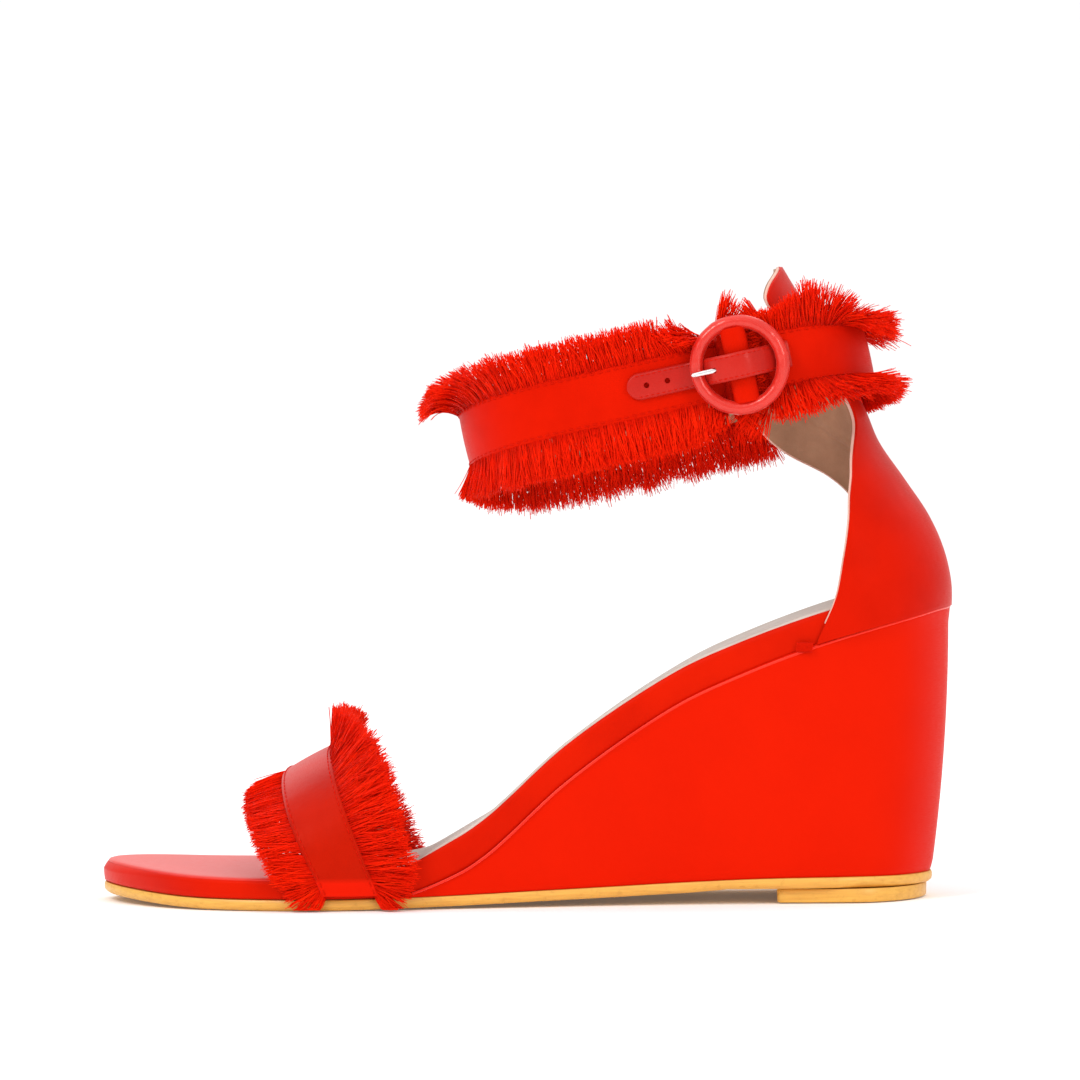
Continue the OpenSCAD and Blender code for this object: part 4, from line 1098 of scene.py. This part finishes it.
def build_bartacks():
    """Dense bars of thread across the counter's two front corners."""
    points = node_points("counter_bartacks")
    middle = points[:, 1].mean()
    radius, pitch = 0.15, 0.28
    parts = []
    for side in (-1, 1):
        here = points[(points[:, 1] - middle) * side > 0]
        lo, hi = here.min(0), here.max(0)
        face_y = hi[1] if side > 0 else lo[1]
        xs = np.arange(lo[0] + 0.15, hi[0] - 0.1, pitch)
        u = np.linspace(-1, 1, 7)
        path = np.zeros((len(xs), 7, 3))
        path[:, :, 0] = xs[:, None] + 0.14 * u[None, :]
        path[:, :, 1] = face_y - side * (0.1 + 0.35 * np.abs(u[None, :]) ** 3)
        path[:, :, 2] = (lo[2] + hi[2]) / 2 + u[None, :] * (hi[2] - lo[2]) * 0.46
        normals = np.tile([0.0, side, 0.0], (len(xs), 1))
        verts, faces = tubes(path, np.full((len(xs), 7), radius), normals, sides=6)
        parts.append((verts, faces, np.full((len(verts), 3), 0.4)))
    piece("counter_bartack_stitches", join_parts(parts), "thread", "shoe", ["counter_bartacks"],
          clean_mm=None)


build_bartacks()


# ---- ankle loop

hinge = joints["ankle_strap_open"]
TILT = math.atan2(hinge["axis"][0], -hinge["axis"][2])   # the loop rises towards the heel
ROLL = math.radians(9.0)         # and falls towards the inner side
LOOP_R = 24.0                    # of the loop's round ends, at the lining's inner face
BAND_OUT = 1.05                  # the satin strip's inner face lies this far outside the lining's inner face
BAND_T = 1.2
HINGE_U = 24.5                   # the opening fold lies this far behind the loop's centre
loop_u = np.array([math.cos(TILT), 0, math.sin(TILT)])
loop_v = np.array([0, 1, -math.tan(ROLL)])
loop_h = np.array([-math.sin(TILT), 0, math.cos(TILT)])
hinge_pos = np.array(hinge["pos_m"]) / MM
loop_centre = hinge_pos - HINGE_U * loop_u - (LOOP_R + BAND_OUT + BAND_T) * loop_v
LOOP_LEN = 102.0                 # level length of the loop
straight = LOOP_LEN / math.cos(TILT) - 2 * LOOP_R
quarter = LOOP_R * math.pi / 2
loop_total = 2 * straight + 4 * quarter
# places round the loop, in millimetres from its back: the fold, the front band's end, the rear band's start
hinge_mm = quarter + straight / 2 - HINGE_U
TAB_U = 17.4                     # the front band ends this far behind the centre, under the buckle
front_end_mm = 3 * quarter + straight + TAB_U + straight / 2
rear_start_mm = 3 * quarter + 2 * straight + 0.5 - loop_total


def loop_plan(mm, out):
    """Plan place on the loop: mm runs from the back through the inner side and the front to the outer side."""
    mm = np.mod(mm, loop_total)
    r = LOOP_R + out
    half = straight / 2
    inner_end, front_end = quarter + straight, 3 * quarter + straight
    outer_end = 3 * quarter + 2 * straight
    back_a = np.minimum(mm, quarter) / LOOP_R
    front_a = math.pi / 2 + np.clip((mm - quarter - straight) / LOOP_R, 0, math.pi)
    last_a = 1.5 * math.pi + (mm - 3 * quarter - 2 * straight) / LOOP_R
    where = [mm < quarter, mm < inner_end, mm < front_end, mm < outer_end]
    u = np.select(where, [half + r * np.cos(back_a), half - (mm - quarter), -half + r * np.cos(front_a),
                          -half + (mm - 3 * quarter - straight)], half + r * np.cos(last_a))
    v = np.select(where, [r * np.sin(back_a), r, r * np.sin(front_a), -r], r * np.sin(last_a))
    return u, v


def loop_place(u, v, h):
    u, v, h = np.broadcast_arrays(u, v, h)
    return loop_centre + u[..., None] * loop_u + v[..., None] * loop_v + h[..., None] * loop_h


def loop_point(mm, h, out):
    mm, h, out = np.broadcast_arrays(mm, h, out)
    u, v = loop_plan(mm, out)
    return loop_place(u, v, h)


HALF_BAND = 7.5                  # half the satin strips' width


def build_ankle_strip(name, mm0, mm1, body, count):
    band = ("_band_satin", "satin", "satin_red", name + "_band",
            strip_section(HALF_BAND, BAND_T, 0.25, 0.5, base=BAND_OUT))
    lining = ("_band_lining", "lining", "lining_leather", name + "_lining",
              strip_section(HALF_BAND - 0.3, 0.95, 0, 0.3))
    lined_strip(name, loop_point, np.linspace(mm0, mm1, count), (band, lining), body)
    sewn_edges(name + "_band_stitching", loop_point, np.linspace(mm0 + 0.8, mm1 - 0.8, count * 3),
               HALF_BAND - SEAM_IN, BAND_OUT + BAND_T + 0.08, 0.3, outward_of, body)


def outward_of(p, n):
    """Normals turned to point away from the loop's own centre line."""
    away = (p - loop_centre) @ np.array([loop_u, [0, 1, 0]]).T
    plan = away[:, :1] * loop_u + away[:, 1:] * np.array([0, 1.0, 0])
    core = np.clip(away[:, :1], -straight / 2, straight / 2) * loop_u
    return n * np.sign(np.sum(n * (plan - core), -1))[:, None]


def loop_fringe(node, mm0, mm1, side, body, shape, seed, per_mm):
    """Fringe along the upper (side 1) or lower (side -1) edge of the loop between two distances round it."""
    s = np.linspace(mm0, mm1, 260)
    p, w, n = frame_at(loop_point, s, side * (HALF_BAND - 0.5), BAND_OUT + 0.5, 0.3)
    rng = np.random.default_rng(seed)
    frayed(node, fringe(p, w * side, outward_of(p, n), rng, seed, per_mm=per_mm, **shape(s)), body)


build_ankle_strip("ankle_front", hinge_mm + 0.2, front_end_mm, "ankle_front", 150)
build_ankle_strip("ankle_rear", rear_start_mm, hinge_mm - 0.2, "ankle_back", 90)

front_mm = 2 * quarter + straight                # the loop's very front


def front_upper(s):
    front = bell(s, front_mm + 3, 15)
    end = smooth_step(front_end_mm - 14, front_end_mm, s)
    part = bell(s, front_end_mm - 12, 2.5)
    return dict(lengths=10.3 + 1.7 * front + 1.5 * end - 2.5 * part, lean=0.14 + 0.22 * front + 0.35 * end,
                curl=0.25 + 1.05 * front + 0.8 * end, sway=0.75 * end + 0.3 * part, fan=0.45 + 0.25 * front,
                ragged=1.3 - 0.6 * front)


def front_lower(s):
    front = bell(s, front_mm, 14)
    end = smooth_step(front_end_mm - 12, front_end_mm, s)
    far = 1 - smooth_step(quarter + straight, front_mm, s)
    return dict(lengths=11.2 - 2.6 * front + 1.0 * far - 2.0 * end, lean=0.12 + 0.26 * front + 0.3 * end,
                curl=0.05 + 0.3 * end, sway=-0.2 * end, droop=0.02, fan=0.28, ragged=1.0 + 0.8 * far)


def rear_upper(s):
    back = smooth_step(-25, -10, s) * (1 - smooth_step(12, 30, s))
    start = 1 - smooth_step(rear_start_mm + 4, rear_start_mm + 14, s)
    return dict(lengths=12.0 - 2.6 * back - 5.0 * start, lean=0.16 + 1.35 * back, curl=0.15 + 0.25 * back,
                fan=0.45 + 0.35 * back, ragged=1.3 + 1.5 * back)


def rear_lower(s):
    back = bell(s, -12, 16)
    start = 1 - smooth_step(rear_start_mm + 6, rear_start_mm + 14, s)
    return dict(lengths=6.5 + 4.4 * back + 2.8 * start, lean=0.25 + 0.80 * back, curl=0.1 + 0.1 * back,
                fan=0.5, ragged=1.5)


loop_fringe("front_upper_fringe", hinge_mm + 1.0, front_end_mm, 1, "ankle_front", front_upper, 31, 6.3)
loop_fringe("front_lower_fringe", hinge_mm + 1.0, front_end_mm, -1, "ankle_front", front_lower, 32, 6.3)
loop_fringe("rear_upper_fringe", rear_start_mm, hinge_mm - 1.0, 1, "ankle_back", rear_upper, 33, 6.8)
loop_fringe("rear_lower_fringe", rear_start_mm, hinge_mm - 1.0, -1, "ankle_back", rear_lower, 34, 6.8)


def end_fringe(name, mm, toward, body, seed, reach, bands):
    """Loose threads at a band's cut end; toward is 1 where they run on round the loop, -1 the other way.

    bands gives each tuft's two heights, two sways, stretch and how far in from the end it starts."""
    for k, (h0, h1, sway0, sway1, stretch, inset) in enumerate(bands):
        h = np.linspace(h0, h1, 40)
        p = loop_point(mm - toward * inset, h, BAND_OUT + 0.4)
        w = unit(loop_point(mm + toward * 0.5, h, BAND_OUT) - loop_point(mm - toward * 0.5, h, BAND_OUT))
        n = outward_of(p, unit(np.cross(w, loop_h + 0 * w)))
        along = np.sum(np.cross(n, w) * loop_h, -1).mean()
        sway = np.linspace(sway0, sway1, 40) * np.sign(along)
        threads = fringe(p, w, n, np.random.default_rng(seed + k), seed + k, reach * stretch, lean=0.03, curl=0.05,
                         sway=sway, fan=0.30, per_mm=9.5, ragged=1.7)
        piece(name + str(k), threads, "fringe", body, clean_mm=None)


END_MIDDLE = (-7.3, 7.3, -0.25, 0.25, 1.0, 0.6)
end_fringe("front_end_fringe_", front_end_mm, 1, "ankle_front", 51, 11.5,
           [END_MIDDLE, (4.5, 7.4, 0.85, 1.15, 1.2, 0.6), (-7.4, -3.5, -1.15, -0.6, 0.95, 0.6)])
end_fringe("rear_end_fringe_", rear_start_mm, -1, "ankle_back", 61, 9.5,
           [END_MIDDLE, (3.2, 7.4, 0.85, 1.2, 1.12, 1.9), (-7.4, -3.5, -1.15, -0.5, 1.5, 0.6)])


# ---- buckle

bar = np.array(joints["buckle_swivel"]["pos_m"]) / MM
ring_lo, ring_hi = box_mm("buckle_ring")
RING_WIRE = float(ring_hi[1] - ring_lo[1])
RING_R = float(ring_hi[0] - ring_lo[0] - RING_WIRE) / 2
out_dir = np.array([0, -1.0, 0])


def at_bar(u, out, h):
    """Place near the buckle: u along the band to the rear, out away from the ankle, h along the bar."""
    u, out, h = np.broadcast_arrays(u, out, h)
    return bar + u[..., None] * loop_u + out[..., None] * out_dir + h[..., None] * loop_h


def circle(count):
    return np.linspace(0, TAU, count, endpoint=False)


def build_ring():
    def point(angle, around, _):
        r = RING_WIRE / 2 + 0.05 * wave_noise(angle * 30, 3, 9.0)
        wide = RING_R + r * np.cos(around)
        return at_bar(wide * np.cos(angle), r * np.sin(around), wide * np.sin(angle))
    verts, faces, grain = sweep(point, circle(128), [(a, 0) for a in circle(28)], closed=True)
    grain[:, 0] *= RING_R
    grain[:, 1] *= RING_WIRE / 2
    piece("buckle_ring_covered", (verts, faces, grain), "leather_ring", "buckle", ["buckle_ring"])


def build_prong():
    t = np.linspace(0, 1, 22)
    out = 1.2 + 1.55 * np.sin(np.clip(t * 1.1, 0, 1) * math.pi / 2)
    path = at_bar(-1.4 - (RING_R + 0.2) * t, out, 0.0)
    tip = np.sqrt(np.clip(1 - np.clip((t - 0.93) / 0.07, 0, 1) ** 2, 0.02, 1))
    tine, tine_faces = tubes(path[None], (0.85 * (1 - 0.25 * t) * tip)[None], out_dir[None], sides=14)

    def eye(angle, around, _):
        r = 1.75 + 0.55 * np.cos(around)
        return at_bar(r * np.cos(angle), r * np.sin(angle), 0.75 * np.sin(around))
    parts = join_parts([(tine, tine_faces, tine), sweep(eye, circle(40), [(a, 0) for a in circle(14)], closed=True)])
    piece("buckle_prong_plated", parts, "metal", "prong", ["buckle_prong"], clean_mm=0.001)


STRAP_HALF, STRAP_T = 3.5, 1.2
HOLES_MM = (5.2, 10.8, 27.2)     # from the strap's tip
HOLE_R = 0.75
# the strap's way over and under the ring, as (along the band, out from the bar)
STRAP_PATH = np.array([[-30.3, -3.95], [-24, -4.0], [-18, -4.0], [-13.5, -3.9], [-10.3, -3.2], [-7.4, 0.2],
                       [-5.4, 2.3], [-2.6, 3.3], [0, 3.55], [2.8, 2.9], [6, 0.2], [9.2, -3.1], [11.2, -4.1],
                       [12.6, -4.75]])


def curve_through(points, per_gap):
    """Smooth line through points, with per_gap steps between each two."""
    padded = np.concatenate([[2 * points[0] - points[1]], points, [2 * points[-1] - points[-2]]])
    out = []
    for i in range(1, len(padded) - 2):
        a, b, c, d = padded[i - 1:i + 3]
        for t in np.arange(per_gap) / per_gap:
            bend = (2 * a - 5 * b + 4 * c - d) * t * t + (3 * b - a - 3 * c + d) * t ** 3
            out.append(0.5 * (2 * b + (c - a) * t + bend))
    return np.array(out + [points[-1]])


def cut_holes(strap, point):
    cutters = []
    for s in HOLES_MM:
        ends = np.stack([point(np.array(s), np.array(0.0), np.array(out)) for out in (-1.5, 2.8)])
        verts, faces = tubes(ends[None], np.full((1, 2), HOLE_R), loop_h[None], sides=20)
        cutters.append((verts, faces, verts))
    verts, faces, grain = join_parts(cutters)
    cutter = add_mesh("cutter", verts, faces, mat["leather_red"], grain)
    clean(cutter)
    mod = strap.modifiers.new("holes", "BOOLEAN")
    mod.operation = "DIFFERENCE"
    mod.object = cutter
    mod.solver = "EXACT"
    apply_modifiers(strap)
    bpy.data.objects.remove(cutter)


def build_strap():
    line = curve_through(STRAP_PATH, 8)
    run = run_along(line)
    length = run[-1]
    line = columns_at(np.linspace(0, length, 140), run, line)
    tangent = unit(np.gradient(line, axis=0))
    normal = np.stack([-tangent[:, 1], tangent[:, 0]], 1)

    def point(s, across, out):
        i, k = s / length * (len(line) - 1), np.arange(len(line))
        along_u, along_out = np.interp(i, k, line[:, 0]), np.interp(i, k, line[:, 1])
        normal_u, normal_out = np.interp(i, k, normal[:, 0]), np.interp(i, k, normal[:, 1])
        tip = np.sqrt(np.clip(1 - np.clip((STRAP_HALF - s) / STRAP_HALF, 0, 1) ** 2, 0.0, 1))
        return at_bar(along_u + normal_u * out, along_out + normal_out * out, across * np.maximum(tip, 0.03))
    stations = np.concatenate([eased(0, 2 * STRAP_HALF, 24)[:12], np.linspace(STRAP_HALF, length, 130)])
    verts, faces, grain = sweep(point, stations, strip_section(STRAP_HALF, STRAP_T, 0.22, 0.55, n=16))
    strap = add_mesh("buckle_strap_leather", verts, faces, mat["leather_red"], grain)
    clean(strap)
    cut_holes(strap, point)
    strap.data.set_sharp_from_angle(angle=math.radians(50))
    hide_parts("buckle_strap")
    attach(strap, "ankle_back")
    parts = []
    s = np.linspace(2.4, length - 1, 200)
    for side in (-1, 1):
        across = side * (STRAP_HALF - 0.75)
        edge = point(s, across, STRAP_T + 0.04)
        outwards = unit(edge - point(s, across, 0.0))
        parts.append(stitches(edge, outwards, pitch=1.5, length=1.1, radius=0.12, lift=0.02))
    piece("buckle_strap_stitching", join_parts(parts), "thread", "ankle_back", clean_mm=None)


def build_tab():
    """Folded strip round the bar, in two halves that leave the prong free."""
    angles = np.radians(np.linspace(-60, 230, 26))
    around = np.stack([3.3 * np.cos(angles), 2.15 * np.sin(angles)], 1)
    tail = np.array([[-4.4, -2.9], [-5.6, -4.2], [-4.6, -4.8], [-2.4, -3.4]])
    u, out = np.concatenate([around, tail]).T
    parts = []
    for h0, h1 in ((-9.9, -1.2), (1.2, 9.9)):
        heights = np.array([h0, h0 + 0.15, h0 + 0.5, (h0 + h1) / 2, h1 - 0.5, h1 - 0.15, h1])
        grow = (0.72, 0.92, 1.0, 1.02, 1.0, 0.92, 0.72)
        rings = [at_bar(u * (0.4 + 0.6 * g), out * (0.3 + 0.7 * g), h) for h, g in zip(heights, grow)]
        verts = np.array(rings)
        rows, cols = verts.shape[:2]
        faces = [tuple(q) for q in grid_faces(rows, cols, True)] + end_caps(rows, cols)
        verts = verts.reshape(-1, 3)
        parts.append((verts, faces, verts))
    piece("buckle_tab_folded", join_parts(parts), "satin", "ankle_front", ["buckle_tab"])


build_ring()
build_prong()
build_strap()
build_tab()


# ---- hidden CAD nodes that keep their own shape

for node, key in (("top_piece_nails", "metal"), ("insole_board", "core"), ("shank", "metal"),
                  ("heel_screws", "metal"), ("footbed_foam", "foam"), ("buckle_bar", "metal")):
    mesh = nodes[node].data
    mesh.materials.clear()
    mesh.materials.append(mat[key])


# ---- stage, light and camera

def build_stage():
    size = 40.0 / MM
    height = cad_lo[2] / MM - 0.02
    corners = [(-size, -size, height), (size, -size, height), (size, size, height), (-size, size, height)]
    add_mesh("floor", corners, [(0, 1, 2, 3)], floor_material())
    world = bpy.data.worlds.new("studio")
    bpy.context.scene.world = world
    world.use_nodes = True
    tree = world.node_tree
    coords, split, ramp = (tree.nodes.new("ShaderNode" + kind) for kind in ("TexCoord", "SeparateXYZ", "ValToRGB"))
    tree.links.new(coords.outputs["Generated"], split.inputs["Vector"])
    tree.links.new(split.outputs["Z"], ramp.inputs["Fac"])
    for element, (place, level) in zip(ramp.color_ramp.elements, ((0.0, 0.52), (0.75, 1.0))):
        element.position = place
        element.color = (level, level, level, 1)
    tree.links.new(ramp.outputs["Color"], tree.nodes["Background"].inputs["Color"])
    tree.nodes["Background"].inputs["Strength"].default_value = 1.12


def floor_material():
    m = Nodes("floor_pale")
    dust = m.noise(m.place(), 0.01, 3)
    m.graded("Base Color", dust, "Fac", [(0.3, (0.955,)), (0.7, (0.965,))])
    m.set(Roughness=0.9, Specular_IOR_Level=0.1, Emission_Color=(1, 1, 1, 1), Emission_Strength=0.06)
    return m.mat


MIDDLE_MM = (-85, 0, 80)         # the lights look here


def area_light(name, place_mm, size_m, watts):
    light = bpy.data.lights.new(name, "AREA")
    light.shape = "DISK"
    light.size = size_m
    light.energy = watts
    obj = bpy.data.objects.new(name, light)
    bpy.context.scene.collection.objects.link(obj)
    obj.location = Vector(place_mm) * MM
    obj.rotation_mode = "QUATERNION"
    obj.rotation_quaternion = (Vector(MIDDLE_MM) - Vector(place_mm)).to_track_quat("-Z", "Y")


def build_camera():
    """Long lens at the photograph's angle: from the outer side, a little from behind and above."""
    lens, sensor = 400.0, 36.0
    azimuth, elevation, roll = (math.radians(a) for a in (5.5, 3.0, -0.7))
    width_mm = 280.8             # of the picture, at the object
    target = Vector((-78.9, -30.0, 95.4))
    data = bpy.data.cameras.new("camera")
    data.lens, data.sensor_width = lens, sensor
    data.clip_start, data.clip_end = 0.01, 50
    cam = bpy.data.objects.new("camera", data)
    bpy.context.scene.collection.objects.link(cam)
    bpy.context.scene.camera = cam
    back = Vector((math.sin(azimuth) * math.cos(elevation), -math.cos(azimuth) * math.cos(elevation),
                   math.sin(elevation)))
    cam.location = (target + back * (width_mm * lens / sensor)) * MM
    cam.rotation_mode = "QUATERNION"
    cam.rotation_quaternion = (-back).to_track_quat("-Z", "Y") @ Quaternion((0, 0, 1), roll)


build_stage()
for light in (("key_front_left", (-700, -900, 900), 0.45, 6.0), ("fill_front_right", (700, -1000, 500), 0.4, 3.0),
              ("rim_back", (300, 900, 900), 0.8, 2), ("top", (-85, 0, 1200), 1.0, 1)):
    area_light(*light)
build_camera()
bpy.context.scene.view_settings.view_transform = "Standard"
